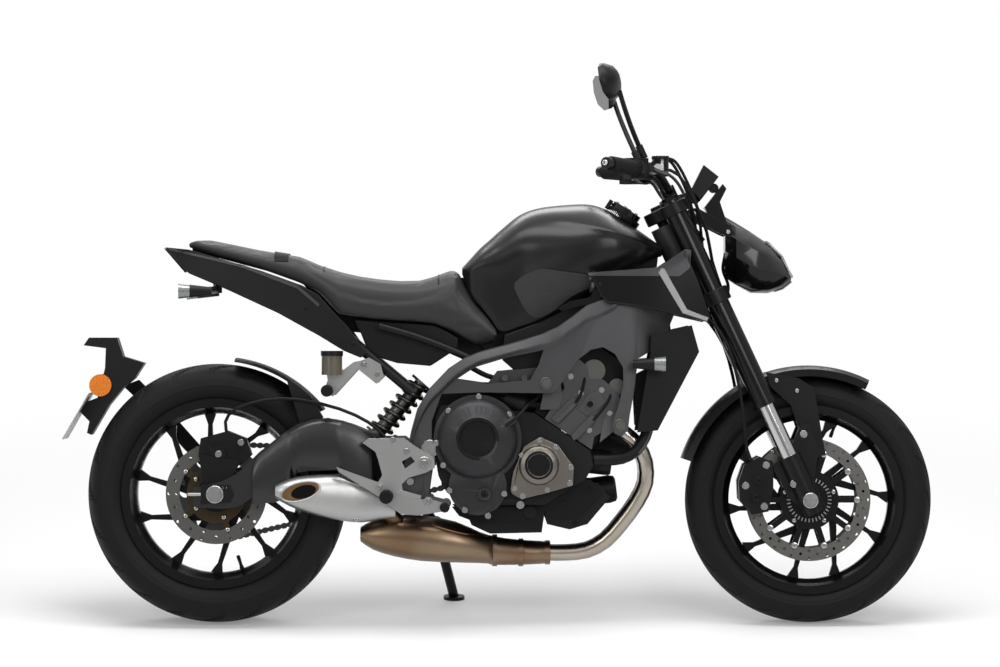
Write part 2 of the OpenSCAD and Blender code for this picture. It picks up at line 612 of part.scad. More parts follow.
// Side stand
stand_at_share = [0.53, 0.135, 0.232];
stand_tilt = 16;
stand_foot_share = [0.575, 0.262];
stand_pad_r = 26;
stand_pad_t = 8;
stand_eye_r = 19;
stand_eye_w = 16;
stand_pin_r = 7;
stand_lug_w = 12;
stand_arm_share = [0.488, 0.132, 0.3];
stand_arm_r = 13;

// Leaned stance, lifted by the sink of the round tyre crowns
crown_share = 0.075;
lift = crown_share * unit_size * (1 - cos(lean));
mirror_out_share = [0.4015, 1.32];
x_mid = (wheelbase + front_r + plate_share[0] * rear_unit - plate_h / 2 * sin(plate_tilt)) / 2;
y_high = mirror_out_share[0] * unit_size * cos(lean) + mirror_out_share[1] * unit_size * sin(lean);
y_low = peg_share[1] * unit_size * sin(lean) - peg_y * cos(lean);
park_shift = [-x_mid, -(y_high + y_low) / 2, lift];

// Steering line, and the head and clamps along it
steer_at = [wheelbase - fork_offset * cos(rake), 0, front_r - fork_offset * sin(rake)];
clamp_high = (head_share[1] * unit_size + raised(head_share[0]) - steer_at[2]) / cos(rake);
clamp_low = clamp_high - clamp_gap;
head_low = clamp_low + clamp_low_t + head_gap;
head_high = clamp_high - head_gap;
tube_top = clamp_high + clamp_t + tube_out;
head_at = [steer_at[0] - clamp_high * sin(rake), 0, steer_at[2] + clamp_high * cos(rake)];
stretch = (head_at[0] - tail_share * unit_size) / ((head_share[0] - tail_share) * unit_size);

// Colours
cast_tint = [0.28, 0.28, 0.29];
black_tint = [0.09, 0.09, 0.1];
steel_tint = [0.62, 0.62, 0.63];
bronze_tint = [0.42, 0.36, 0.3];
rubber_tint = [0.06, 0.06, 0.06];
alloy_tint = [0.75, 0.75, 0.74];
seat_tint = [0.13, 0.13, 0.14];
amber_tint = [0.85, 0.4, 0.05];
plate_tint = [0.8, 0.8, 0.78];

// Placing in the upright frame: the body rises with the axles and stretches from the tail to the head
function raised(x) = (rear_r - rear_axle_share * unit_size) * (1 - x / wheelbase_share)
  + (front_r - front_axle_share * unit_size) * x / wheelbase_share;
function fore(x) = (x < tail_share ? x : tail_share + (x - tail_share) * stretch) * unit_size;
function up(x, z) = z * unit_size + raised(x);
function spot(share) = [fore(share[0]), up(share[0], share[1])];
function spot3(share) = [fore(share[0]), share[1] * unit_size, up(share[0], share[2])];
function xz(shares) = [for (p = shares) spot(p)];
function xy(shares) = [for (p = shares) [fore(p[0]), p[1] * unit_size]];
function xyz(shares) = [for (p = shares) spot3(p)];

// Placing on the rear axle, the front axle and the steering head
function rear_spot(share) = [share[0] * rear_unit, rear_r + (share[1] - rear_axle_share) * rear_unit];
function rear_xz(shares) = [for (p = shares) rear_spot(p)];
function front_spot(share) = [wheelbase + (share[0] - wheelbase_share) * front_unit,
  front_r + (share[1] - front_axle_share) * front_unit];
function front_xz(shares) = [for (p = shares) front_spot(p)];
function head_spot3(share) = head_at + [share[0] - head_share[0], share[1], share[2] - head_share[1]] * unit_size;
function head_xyz(shares) = [for (p = shares) head_spot3(p)];
function head_xz(shares) = [for (p = shares) let (q = head_spot3([p[0], 0, p[1]])) [q[0], q[2]]];
function stand_mid() = spot3(stand_at_share) - [0, cos(stand_tilt), sin(stand_tilt)] * (stand_lug_w / 2 + gap);

// Outline grown away from a point inside it
function grown(points, about, by) = [for (p = points) about + (p - about) * (1 + by / norm(p - about))];

// Smooth rows through a few given ones
function curve(a, b, c, d, t) = (b * 2 + (c - a) * t + (a * 2 - b * 5 + c * 4 - d) * t * t
  + (b * 3 - a - c * 3 + d) * t * t * t) / 2;
function smooth(rows, steps) = concat(
  [for (i = [0:len(rows) - 2], k = [0:steps - 1])
    curve(rows[max(i - 1, 0)], rows[i], rows[i + 1], rows[min(i + 2, len(rows) - 1)], k / steps)],
  [rows[len(rows) - 1]]);
function unit(v) = v / norm(v);
function flip(rows) = [for (i = [len(rows) - 1:-1:0]) rows[i]];

module park() {
  translate(park_shift) rotate([-lean, 0, 0]) children();
}

module steer() {
  translate(steer_at) rotate([0, -rake, 0]) children();
}

module both() {
  children();
  mirror([0, 1, 0]) children();
}

// Side outline drawn through from one width to another
module plate(points, from, to) {
  translate([0, to, 0]) rotate([90, 0, 0]) linear_extrude(to - from) polygon(points);
}

// Side outline kept inside a plan strip
module bowed(side, plan) {
  intersection() {
    plate(side, 0, reach);
    translate([0, 0, -reach]) linear_extrude(reach * 2) polygon(plan);
  }
}

// Round bar across the bike
module bar(at, r, from, to) {
  translate([at[0], to, at[1]]) rotate([90, 0, 0]) cylinder(r = r, h = to - from, $fn = round_n);
}

// Round bar between two points
module rod(from, to, r) {
  v = to - from;
  translate(from) rotate([0, acos(v[2] / norm(v)), atan2(v[1], v[0])]) cylinder(r = r, h = norm(v), $fn = round_n);
}

// Dome on a cover, turned from a profile of shares of its radius and height
module dome(at, face, r, low, high, profile, turn) {
  translate([at[0], face, at[1]]) rotate([turn, 0, 0]) rotate_extrude($fn = round_n) polygon(concat(
    [[0, over]], [for (p = profile) [p[0] * r, low + p[1] * high]], [[r, over]]));
}

// Solid through rings of points
module loft(rings) {
  n = len(rings[0]);
  m = len(rings);
  polyhedron(points = [for (r = rings) each r], faces = concat(
    [[for (i = [n - 1:-1:0]) i]],
    [[for (i = [0:n - 1]) (m - 1) * n + i]],
    [for (j = [0:m - 2], i = [0:n - 1]) let (a = j * n + i, b = j * n + (i + 1) % n) [a, b, b + n, a + n]]));
}

// Tube swept along a path
module tube(path, r, side = [0, 1, 0]) {
  last = len(path) - 1;
  loft([for (i = [0:last]) let (t = unit(path[min(i + 1, last)] - path[max(i - 1, 0)]), n = unit(cross(side, t)),
    b = cross(t, n)) [for (k = [0:tube_n - 1]) let (a = -k * 360 / tube_n) path[i] + r * (n * cos(a) + b * sin(a))]]);
}

// Ring of a body row, up the right side and down the left
function body_ring(row, section) = let (right = [for (p = section)
  [fore(row[0]), -row[3] * p[1] * unit_size, up(row[0], row[1] + (row[2] - row[1]) * p[0])]])
  concat(right, [for (p = flip(right)) if (p[1] < 0) [p[0], -p[1], p[2]]]);

// Round sided ring with half width, middle height and half height
function oval_ring(row, y) = [for (i = [0:exhaust_n - 1]) let (a = -i * 360 / exhaust_n, c = cos(a), s = sin(a))
  [fore(row[0]), y + sign(c) * pow(abs(c), 2 / exhaust_power) * row[1] * unit_size,
    up(row[0], row[2]) + sign(s) * pow(abs(s), 2 / exhaust_power) * row[3] * unit_size]];

// Space that the fork legs sweep between the steering locks
module fork_sweep() {
  r = norm([fork_offset, fork_spread / 2]);
  wide = fork_d / 2 + steer_clear;
  spread = lock + asin(wide / r);
  steer() both() rotate([0, 0, atan2(fork_spread / 2, fork_offset) - spread])
    rotate_extrude(angle = spread * 2, $fn = round_n) translate([r - wide, seal_at]) square([wide * 2, tube_top - seal_at]);
}

// Frame and suspension
module main_frame() {
  color(cast_tint) park() {
    both() difference() {
      union() {
        bowed(xz(spar_shares), xy(concat(spar_out_shares, spar_in_shares)));
        for (p = mount_shares) bar(spot(p), mount_r, ear_out_share * unit_size + gap, mount_in_share * unit_size);
        bar(spot(pivot_share), pivot_boss_r, spar_in_shares[len(spar_in_shares) - 1][1] * unit_size + over,
          spar_out_shares[0][1] * unit_size + pivot_boss_t);
      }
      plate(xz(window_shares), 0, reach);
      bar(spot(pivot_share), pivot_pin_r + gap, 0, reach);
      fork_sweep();
    }
    both() {
      plate(xz(web_shares), web_in_share * unit_size, web_out_share * unit_size);
      for (p = web_bolt_shares) bar(spot(p), web_bolt_r, web_in_share * unit_size + over,
        web_out_share * unit_size + web_bolt_t);
    }
    steer() difference() {
      translate([0, 0, head_low]) cylinder(r = head_r, h = head_high - head_low, $fn = round_n);
      translate([0, 0, head_low - over]) cylinder(r = stem_r + run_gap, h = head_high - head_low + over * 2, $fn = round_n);
    }
    difference() {
      union() {
        stand_place() bar([0, 0], stand_eye_r, -stand_lug_w - gap, -gap);
        rod(spot3(stand_arm_share), stand_mid(), stand_arm_r);
      }
      stand_place() bar([0, 0], stand_eye_r + over, -gap, reach);
      stand_place() bar([0, 0], stand_pin_r + run_gap, -reach, reach);
    }
  }
}

module stand_place() {
  translate(spot3(stand_at_share)) rotate([stand_tilt, 0, 0]) children();
}

module subframe() {
  color(black_tint) park() both() {
    tube(smooth(xyz(rail_shares), steps), rail_r);
    tube(smooth(xyz(upper_rail_shares), steps), upper_rail_r);
  }
}

module swingarm() {
  color(black_tint) park() difference() {
    union() {
      mirror([0, 1, 0]) bowed(xz(arm_right_shares), xy(concat(arm_out_shares, arm_in_shares)));
      bowed(xz(arm_left_shares), xy(concat(arm_out_shares, arm_in_shares)));
      plate(xz(brace_shares), -brace_half_share * unit_size, brace_half_share * unit_size);
      bar(spot(pivot_share), pivot_r, -arm_in_shares[0][1] * unit_size - over, arm_in_shares[0][1] * unit_size + over);
    }
    bar([0, rear_r], axle_r + gap, -reach, reach);
    bar(spot(pivot_share), pivot_pin_r + gap, -reach, reach);
    both() bar(spot(spool_share), spool_d / 2, arm_out_shares[0][1] * unit_size - spool_deep, reach);
  }
}

module rear_shock() {
  low = spot3([shock_low_share[0], 0, shock_low_share[1]]);
  high = spot3([shock_high_share[0], 0, shock_high_share[1]]);
  along = unit(high - low);
  across = cross([0, 1, 0], along);
  turn_n = coil_turns * coil_steps;
  first = low + along * (cup_wall - over + coil_wire);
  last = high - along * (cup_wall - over + coil_wire);
  mid_r = coil_r - coil_wire;
  color(steel_tint) park() {
    rod(low, high, shock_r);
    rod(low, low + along * cup_wall, coil_r);
    rod(high - along * cup_wall, high, coil_r);
    tube([for (i = [0:turn_n]) let (a = i * 360 / coil_steps) first + (last - first) * i / turn_n
      + mid_r * (across * cos(a) + [0, 1, 0] * sin(a))], coil_wire, along);
  }
}

// Engine
module crankcase() {
  face = case_w / 2;
  color(cast_tint) park() {
    difference() {
      union() {
        plate(xz(case_shares), -face, face);
        plate(xz(sump_shares), -sump_half_share * unit_size, sump_half_share * unit_size);
        plate(xz(filter_shares), -filter_half_share * unit_size, filter_half_share * unit_size);
        for (p = plug_shares) bar(spot(p), p[2], -sump_half_share * unit_size - plug_t, 0);
      }
      bar(spot(drive_at_share), pocket_r, pocket_y, reach);
    }
  }
}

module cylinder_head() {
  out = face_out_share * unit_size;
  color(cast_tint) park() {
    plate(xz(cylinder_shares), -cylinder_half_share * unit_size, cylinder_half_share * unit_size);
    both() {
      plate(xz(ear_shares), ear_in_share * unit_size, ear_out_share * unit_size);
      plate(xz(rear_ear_shares), ear_in_share * unit_size, ear_out_share * unit_size);
      plate(xz(face_shares), ear_in_share * unit_size, out);
      for (p = cam_shares) bar(spot(p), p[2], ear_in_share * unit_size, cam_out_share * unit_size);
      bar(spot(bung_share), bung_r, ear_in_share * unit_size, out + bung_t);
      for (p = stud_shares) rod(spot3([p[0][0], face_out_share, p[0][1]]), spot3([p[1][0], face_out_share, p[1][1]]), stud_r);
    }
  }
}

module clutch_cover() {
  face = -case_w / 2;
  deep = -case_w / 2 - cover_t - release_out;
  color(cast_tint) park() difference() {
    union() {
      bar(spot(cover_at_share), cover_r, face - cover_t, face);
      bar(spot(cover_low_share), cover_low_r, face - cover_t, face);
      dome(spot(cover_at_share), face, dome_r, cover_t, dome_t, dome_shares, 90);
      for (p = cover_bolt_shares) bar(spot(p), cover_boss_r, face - cover_boss_t, face);
      bar(spot(filler_share), filler_r, face - cover_t - filler_t, face);
      rod([spot(release_shares[0])[0], deep, spot(release_shares[0])[1]],
        [spot(release_shares[1])[0], deep, spot(release_shares[1])[1]], release_r);
    }
    plate(grown(xz(pickup_shares), spot(pickup_at_share), over), -reach, face + over);
  }
}

module pickup_cover() {
  face = -case_w / 2;
  color(bronze_tint) park() {
    plate(xz(pickup_shares), face - pickup_t, face);
    dome(spot(pickup_at_share), face, pickup_dome_r, pickup_t, pickup_dome_t, pickup_dome_shares, 90);
  }
}

module left_covers() {
  face = case_w / 2;
  color(cast_tint) park() {
    bar(spot(generator_at_share), generator_r, face, face + generator_t);
    dome(spot(generator_at_share), face, generator_dome_r, generator_t, generator_dome_t, generator_dome_shares, -90);
    plate(xz(chain_cover_shares), face, face + chain_cover_t);
  }
}

// Exhaust
module header_pipes() {
  color(steel_tint) park() for (k = [-1:1]) {
    path = [for (p = header_shares) [fore(p[0]), k * p[1] * header_y, up(p[0], p[2])]];
    tube(smooth(path, steps), pipe_d / 2);
    rod(path[0], path[0] + (path[1] - path[0]) * collar_share, collar_r);
  }
}

module exhaust_chamber() {
  color(bronze_tint) park() {
    loft(flip([for (r = smooth(collector_shares, steps)) oval_ring(r, 0)]));
    loft(flip([for (r = smooth(chamber_shares, steps)) oval_ring(r, chamber_y)]));
    for (r = clamp_ring_shares) loft([for (k = [-1, 1]) [for (p = oval_ring(r, 0)) p + [k * clamp_ring_w / 2, 0, 0]]]);
    rod(spot3(link_from_share), spot3(link_to_share), pipe_link_r);
  }
}

module muffler() {
  from = spot3(link_from_share);
  to = spot3(link_to_share);
  color(alloy_tint) park() difference() {
    loft(flip([for (r = smooth(muffler_shares, steps)) oval_ring(r, r[4] * unit_size)]));
    rod(from, to + unit(to - from) * gap, pipe_link_r + gap);
    translate(spot3(outlet_at_share)) rotate([-90, 0, 0]) rotate([0, 0, outlet_tilt]) linear_extrude(outlet_deep)
      polygon([for (i = [0:outlet_n - 1]) let (a = i * 360 / outlet_n)
        [outlet_a_share * cos(a), outlet_b_share * sin(a)] * unit_size]);
  }
}

module radiator() {
  low = spot(radiator_shares[2]);
  high = spot(radiator_shares[1]);
  face = norm(high - low);
  color(black_tint) park() {
    difference() {
      plate(xz(radiator_shares), -radiator_half_share * unit_size, radiator_half_share * unit_size);
      translate([low[0], 0, low[1]]) rotate([0, atan2(high[0] - low[0], high[1] - low[1]), 0])
        for (i = [1:fins]) translate([-fin_deep, -fin_half_share * unit_size, i * face / (fins + 1) - fin_w / 2])
          cube([reach, fin_half_share * unit_size * 2, fin_w]);
    }
    both() plate(xz(shroud_shares), radiator_half_share * unit_size, radiator_half_share * unit_size + shroud_t);
    both() bar(spot(radiator_boss_share), radiator_boss_r, radiator_boss_in_share * unit_size, radiator_half_share * unit_size + over);
    mirror([0, 1, 0]) tube(smooth(xyz(hose_shares), steps), hose_r);
  }
}

// Bodywork
tank_rows = smooth(tank_shares, steps);

// Section of the tank, which turns from the rear one to the front one
function tank_section(x) = let (t = max(0, min(1, (x - tank_turn_shares[0]) / (tank_turn_shares[1] - tank_turn_shares[0]))))
  tank_rear_shares * (1 - t) + tank_front_shares * t;

module cap_place() {
  translate(spot3([cap_at_share[0], 0, cap_at_share[1]])) rotate([0, cap_tilt, 0]) children();
}

module fuel_tank() {
  r = cap_d / 2;
  color(black_tint) park() difference() {
    union() {
      loft([for (r = tank_rows) body_ring(r, tank_section(r[0]))]);
      cap_place() translate([0, 0, -neck_sink]) cylinder(r = r + neck_wall, h = neck_sink + neck_t, $fn = round_n);
      cap_place() both() translate([-r - pin_back * 2, lug_in, neck_t + pin_up * 2 - lug_deep])
        cube([pin_back * 2 - over, lug_out - lug_in, lug_deep]);
    }
    cap_place() translate([0, 0, -neck_sink / 2]) cylinder(r = r - neck_wall * 2, h = neck_sink, $fn = round_n);
    cap_place() bar([-r - pin_back, neck_t + pin_up], cap_pin_r + run_gap, -reach, reach);
    steer() translate([0, 0, head_low]) cylinder(r = head_r + over * 2, h = head_high, $fn = round_n);
  }
}

module fuel_cap() {
  r = cap_d / 2;
  color(black_tint) park() cap_place() {
    translate([0, 0, neck_t + lid_slack]) cylinder(r = r, h = cap_t, $fn = round_n);
    translate([-r - pin_back, -lug_in + over, neck_t + over]) cube([pin_back * 2, lug_in * 2 - over * 2, pin_up]);
    bar([-r - pin_back, neck_t + pin_up], cap_pin_r + over, -lug_in + over, lug_in - over);
    bar([-r - pin_back, neck_t + pin_up], cap_pin_r, -lug_out, lug_out);
  }
}

function tank_low(x) = lookup(x, [for (r = tank_rows) [r[0], r[1]]]);
function tank_high(x) = lookup(x, [for (r = tank_rows) [r[0], r[2]]]);
function tank_half(x) = lookup(x, [for (r = tank_rows) [r[0], r[3]]]);
function tank_side(x, z) = tank_half(x) * unit_size
  * lookup((z - tank_low(x)) / (tank_high(x) - tank_low(x)), tank_section(x));

module tank_covers() {
  rows = smooth(side_cover_shares, steps);
  color(cast_tint) park() both() loft([for (r = rows) let (
    rise = [for (k = [0:side_cover_n]) r[1] + (r[2] - r[1]) * k / side_cover_n]) concat(
    [for (z = rise) [fore(r[0]), -tank_side(r[0], z) - side_cover_t, up(r[0], z)]],
    [for (z = flip(rise)) [fore(r[0]), -tank_side(r[0], z) - cover_slack, up(r[0], z)]])]);
}

module air_scoops() {
  color(black_tint) park() both() bowed(xz(scoop_shares), xy(concat(scoop_out_shares, scoop_in_shares)));
}

module seat() {
  color(seat_tint) park() loft([for (r = seat_shares) body_ring(r, seat_section_shares)]);
}

module rear_panels() {
  color(black_tint) park() {
    both() bowed(xz(tail_shares), xy(concat(tail_out_shares, tail_in_shares)));
    both() bowed(xz(tray_shares), xy(tray_half_shares));
    plate(xz(battery_shares), -battery_half_share * unit_size, battery_half_share * unit_size);
    plate(xz(air_box_shares), -air_box_half_share * unit_size, air_box_half_share * unit_size);
  }
}

module indicator(at, root, face) {
  p = spot3(at);
  translate(p) rotate([0, face * 90, 0]) translate([0, 0, -indicator_len / 2])
    cylinder(r1 = indicator_r * indicator_share, r2 = indicator_r, h = indicator_len, $fn = round_n);
  rod(root, p, indicator_stalk_r);
}

module marker_lamps() {
  stalk = spot3(rear_stalk_share);
  color(amber_tint) park() {
    plate(xz(tail_lamp_shares), -tail_lamp_half_share * unit_size, tail_lamp_half_share * unit_size);
    both() indicator(front_indicator_share,
      spot3([front_indicator_share[0], -front_stalk_y_share, front_indicator_share[2]]), 1);
    both() indicator(rear_indicator_share, stalk, -1);
    both() rod(stalk - [0, 0, indicator_stalk_r], [stalk[0], stalk[1], up(0, rear_stub_top_share)], indicator_stalk_r);
    both() bar(rear_spot(reflector_share), reflector_r, flap_half_share * unit_size,
      flap_half_share * unit_size + reflector_t);
  }
}

module foot_rests() {
  color(alloy_tint) park() {
    both() {
      difference() {
        plate(xz(bracket_shares), bracket_y, bracket_y + bracket_t);
        plate(xz(bracket_hole_shares), 0, reach);
      }
      for (p = bracket_boss_shares) bar(spot(p), bracket_boss_r, spar_out_shares[1][1] * unit_size + gap, bracket_y + over);
      bar(spot(peg_share), peg_r, bracket_y, peg_y);
      bar(spot(toe_share), toe_r, bracket_y, toe_y);
      plate(xz(hanger_shares), hanger_y, hanger_y + hanger_t);
      bar(spot(pillion_share), pillion_r, hanger_y, pillion_y);
    }
    rod(spot3(pump_from_share), spot3(pump_to_share), pump_r);
    translate([spot(cup_share)[0], -cup_y, spot(cup_share)[1] - cup_h / 2]) {
      cylinder(r = cup_r, h = cup_h, $fn = round_n);
      translate([0, 0, cup_h - cup_cap_h]) cylinder(r = cup_cap_r, h = cup_cap_h, $fn = round_n);
    }
  }
}

module rear_caliper() {
  color(black_tint) park() {
    mirror([0, 1, 0]) difference() {
      union() {
        plate(rear_xz(caliper_shares), caliper_in_share * unit_size, caliper_out_share * unit_size);
        plate(rear_xz(hold_shares), hold_in_share * unit_size, hold_out_share * unit_size);
        bar(rear_spot(slide_share), slide_r, caliper_out_share * unit_size - over, slide_out_share * unit_size);
      }
      translate([0, rear_disc_y + caliper_slot, rear_r]) rotate([90, 0, 0])
        cylinder(r = rear_disc_d / 2 + slot_clear, h = caliper_slot * 2 + disc_t, $fn = round_n);
      bar([0, rear_r], axle_r + gap, -reach, reach);
    }
    tube(smooth(xyz(rear_hose_shares), steps), rear_hose_r);
  }
}

// Arch over a tyre, from one angle to another
module arch(r, half, skirt, low, high) {
  outer = [for (p = arch_shares) [r - skirt * p[0], half * p[1]]];
  inner = [for (p = arch_shares) [r - skirt * p[0] - fender_t * p[2], half * p[1] - fender_t * p[3]]];
  rotate([90, 0, 0]) rotate([0, 0, low]) rotate_extrude(angle = high - low, $fn = round_n) polygon(concat(
    outer, [for (p = flip(outer)) [p[0], -p[1]]], [for (p = inner) [p[0], -p[1]]], flip(inner)));
}

module rear_fenders() {
  hugger_r = rear_r + hugger_lift + fender_t;
  color(black_tint) park() {
    translate([0, 0, rear_r]) arch(hugger_r, rear_fender_half_share * unit_size, fender_edge, hugger_low, hugger_high);
    mirror([0, 1, 0]) plate(concat(xz(hugger_stay_shares), [for (a = hugger_stay_turns)
      [0, rear_r] + (hugger_r - fender_t / 2) * [cos(a), sin(a)]]), hugger_stay_in_share * unit_size, hugger_stay_out_share * unit_size);
    plate(rear_xz(flap_shares), -flap_half_share * unit_size, flap_half_share * unit_size);
    plate(rear_xz(bridge_shares), -flap_half_share * unit_size, (stay_y_share + stay_t_share) * unit_size);
    plate(rear_xz(stay_shares), stay_y_share * unit_size, (stay_y_share + stay_t_share) * unit_size);
  }
}

module number_plate() {
  at = rear_spot(plate_share);
  color(plate_tint) park() translate([at[0], 0, at[1]]) rotate([0, plate_tilt, 0])
    translate([-plate_t, -plate_w / 2, -plate_h / 2]) cube([plate_t, plate_w, plate_h]);
}

module chain() {
  hub = [0, rear_r];
  wide_r = sprocket_r + chain_clear + link_r;
  span = spot(drive_at_share) - hub;
  lean_in = acos((wide_r - drive_r) / norm(span));
  first = atan2(span[1], span[0]) + lean_in;
  run = norm(span) * sin(lean_in);
  arc = wide_r * (180 - lean_in) * PI / 90;
  small = drive_r * lean_in * PI / 90;
  links = round((arc + small + run * 2) / chain_pitch);
  spots = [for (i = [0:links - 1]) chain_spot(i * (arc + small + run * 2) / links, hub, span, wide_r, first, lean_in)];
  color(steel_tint) park() translate([0, sprocket_y + chain_w / 2, 0]) rotate([90, 0, 0]) linear_extrude(chain_w)
    difference() {
      polygon(chain_edge(spots, 1));
      polygon(chain_edge(spots, -1));
    }
}

// Edge of the chain on its outer or inner side, wide at the pins and narrow between them
function chain_edge(spots, side) = let (n = len(spots)) [for (i = [0:n - 1]) let (
  p = spots[i], q = spots[(i + 1) % n], along = unit(q - spots[(i + n - 1) % n]), out = [along[1], -along[0]] * side,
  next = unit(q - p)) each [p - along * link_flat + out * link_r, p + along * link_flat + out * link_r,
    (p + q) / 2 + [next[1], -next[0]] * side * link_neck]];

// Pin of the chain at a length along the loop from the top of the large sprocket
function chain_spot(s, hub, span, wide_r, first, lean_in) = let (
  run = norm(span) * sin(lean_in),
  arc = wide_r * (180 - lean_in) * PI / 90,
  small = drive_r * lean_in * PI / 90,
  away = [for (a = [first, first - lean_in * 2]) [cos(a), sin(a)]])
  s < arc ? hub + wide_r * [cos(first + s / wide_r * 180 / PI), sin(first + s / wide_r * 180 / PI)]
  : s < arc + run ? hub + wide_r * away[1] + (span + (drive_r - wide_r) * away[1]) * (s - arc) / run
  : s < arc + run + small ? let (a = first - lean_in * 2 + (s - arc - run) / drive_r * 180 / PI) hub + span + drive_r * [cos(a), sin(a)]
  : hub + span + drive_r * away[0] + (-span + (wide_r - drive_r) * away[0]) * (s - arc - run - small) / run;

module rear_axle() {
  half = arm_out_shares[0][1] * unit_size;
  pin = spar_out_shares[0][1] * unit_size;
  color(steel_tint) park() {
    bar([0, rear_r], axle_r, -half - carrier_t, half + carrier_t);
    both() bar([0, rear_r], hub_end_r - axle_r, half, half + carrier_t);
    bar(spot(pivot_share), pivot_pin_r, -pin, pin);
  }
}

// Steering
module clamp(low, t) {
  difference() {
    translate([0, 0, low]) linear_extrude(t) union() {
      circle(clamp_web, $fn = round_n);
      translate([0, -fork_spread / 2]) square([fork_offset + fork_d / 4, fork_spread]);
      both() translate([fork_offset, fork_spread / 2]) circle(fork_d / 2 + clamp_wall, $fn = round_n);
    }
    both() translate([fork_offset, fork_spread / 2, low - over]) cylinder(d = fork_d + gap * 2, h = t + over * 2, $fn = round_n);
  }
}

module fork_clamps() {
  color(black_tint) park() steer() {
    clamp(clamp_low, clamp_low_t);
    clamp(clamp_high, clamp_t);
    translate([0, 0, clamp_low]) cylinder(r = stem_r, h = clamp_high - clamp_low + clamp_t, $fn = round_n);
    translate([0, 0, clamp_high + clamp_t]) cylinder(r = cap_nut_r, h = cap_nut_h, $fn = 6);
  }
}

module fork_tubes() {
  color(black_tint) park() steer() both() translate([fork_offset, fork_spread / 2, 0]) {
    translate([0, 0, seal_at]) cylinder(d = fork_d, h = tube_top - seal_at, $fn = round_n);
    translate([0, 0, seal_at]) cylinder(r = seal_r, h = seal_h, $fn = round_n);
    translate([0, 0, tube_top - over]) cylinder(r = tube_cap_r, h = tube_cap_h + over, $fn = 6);
  }
}

module fork_sliders() {
  color(steel_tint) park() difference() {
    union() {
      steer() both() {
        translate([fork_offset, fork_spread / 2, slider_low]) cylinder(d = slider_d, h = seal_at - slider_low, $fn = round_n);
        translate([fork_offset, fork_spread / 2, foot_low]) cylinder(r = foot_r, h = foot_high - foot_low, $fn = round_n);
      }
      both() plate(front_xz(foot_lug_shares), foot_lug_in_share * unit_size, foot_lug_out_share * unit_size);
    }
    bar([wheelbase, front_r], axle_r + gap, -reach, reach);
  }
}

module front_axle() {
  half = fork_spread / 2 + foot_r;
  color(steel_tint) park() bar([wheelbase, front_r], axle_r, -half, half);
}

module front_fender() {
  color(black_tint) park() {
    translate([wheelbase, 0, front_r])
      arch(front_r + fender_lift + fender_t, fender_half_share * unit_size, fender_skirt, fender_low, fender_high);
    both() plate(front_xz(fender_stay_shares), fender_stay_in_share * unit_size, fender_stay_out_share * unit_size);
  }
}

module front_brakes() {
  junction = head_xz([junction_share])[0];
  color(black_tint) park() {
    both() {
      difference() {
        union() {
          plate(front_xz(front_caliper_shares), front_caliper_in_share * unit_size, front_caliper_out_share * unit_size);
          for (p = piston_shares) bar(front_spot(p), piston_r, front_caliper_in_share * unit_size + over,
            front_caliper_out_share * unit_size + piston_t);
        }
        translate([wheelbase, front_disc_y + front_caliper_slot / 2, front_r]) rotate([90, 0, 0])
          cylinder(r = front_disc_d / 2 + slot_clear, h = front_caliper_slot, $fn = round_n);
      }
      tube(smooth(head_xyz(brake_hose_shares), steps), brake_hose_r);
    }
    bar(junction, junction_r, -junction_half, junction_half);
    tube(smooth(head_xyz(feed_hose_shares), steps), brake_hose_r);
  }
}

module handlebar() {
  half = smooth(head_xyz(bar_shares), steps);
  left = [for (p = half) if (p[1] > 0) [p[0], -p[1], p[2]]];
  color(black_tint) park() {
    tube(concat(flip(left), half), bar_d / 2, [0, 0, 1]);
    both() {
      rod(bar_at(0), bar_at(end_shares[1]), bar_d / 2);
      rod(bar_at(end_shares[0]), bar_at(end_shares[1]), end_neck_r);
      rod(bar_at(end_shares[1]), bar_at(end_shares[2]), bar_end_r);
    }
    steer() both() translate([riser_x - riser_w / 2, riser_y - riser_w / 2, clamp_high + clamp_t])
      cube([riser_w, riser_w, riser_h]);
  }
}

// Point along the straight end of the bar
function bar_at(t) = let (root = head_spot3(bar_root_share), tip = head_spot3(bar_tip_share))
  root + ([tip[0], bar_w / 2, tip[2]] - root) * t;

// Sleeve round the straight end of the bar
module sleeve(spots, r) {
  rod(bar_at(spots[0]), bar_at(spots[1]), r);
}

module bar_bore() {
  sleeve([-1, 2], bar_d / 2 + gap);
}

module grips() {
  color(rubber_tint) park() both() difference() {
    union() {
      sleeve(grip_shares, grip_r);
      sleeve(flange_shares, flange_r);
    }
    bar_bore();
  }
}

module bar_controls() {
  root = bar_at((perch_shares[0] + perch_shares[1]) / 2);
  color(black_tint) park() {
    both() difference() {
      union() {
        sleeve(perch_shares, perch_r);
        tube(smooth([for (p = lever_shares) root + p * unit_size], steps), lever_r, [0, 0, 1]);
      }
      bar_bore();
    }
    both() difference() {
      sleeve(switch_shares, switch_r);
      bar_bore();
    }
    mirror([0, 1, 0]) difference() {
      union() {
        translate(root + jar_share * unit_size) cylinder(r = jar_r, h = jar_h, $fn = round_n);
        rod(root + pump_body_shares[0] * unit_size, root + pump_body_shares[1] * unit_size, pump_body_r);
      }
      sleeve([-1, 2], perch_r + gap);
    }
  }
}

module mirrors() {
  stem = smooth(head_xyz(mirror_stem_shares), steps);
  color(black_tint) park() both() {
    tube(stem, mirror_stem_r);
    rod(stem[0], stem[steps], mirror_socket_r);
    translate(head_spot3(mirror_at_share)) rotate([0, mirror_tilt, mirror_yaw]) rotate([90, 0, 90])
      loft([for (q = mirror_rings_shares) [for (p = mirror_face_shares)
        [p[0] * q[1] * unit_size, p[1] * q[1] * unit_size, q[0] * mirror_dome - mirror_rim]]]);
  }
}

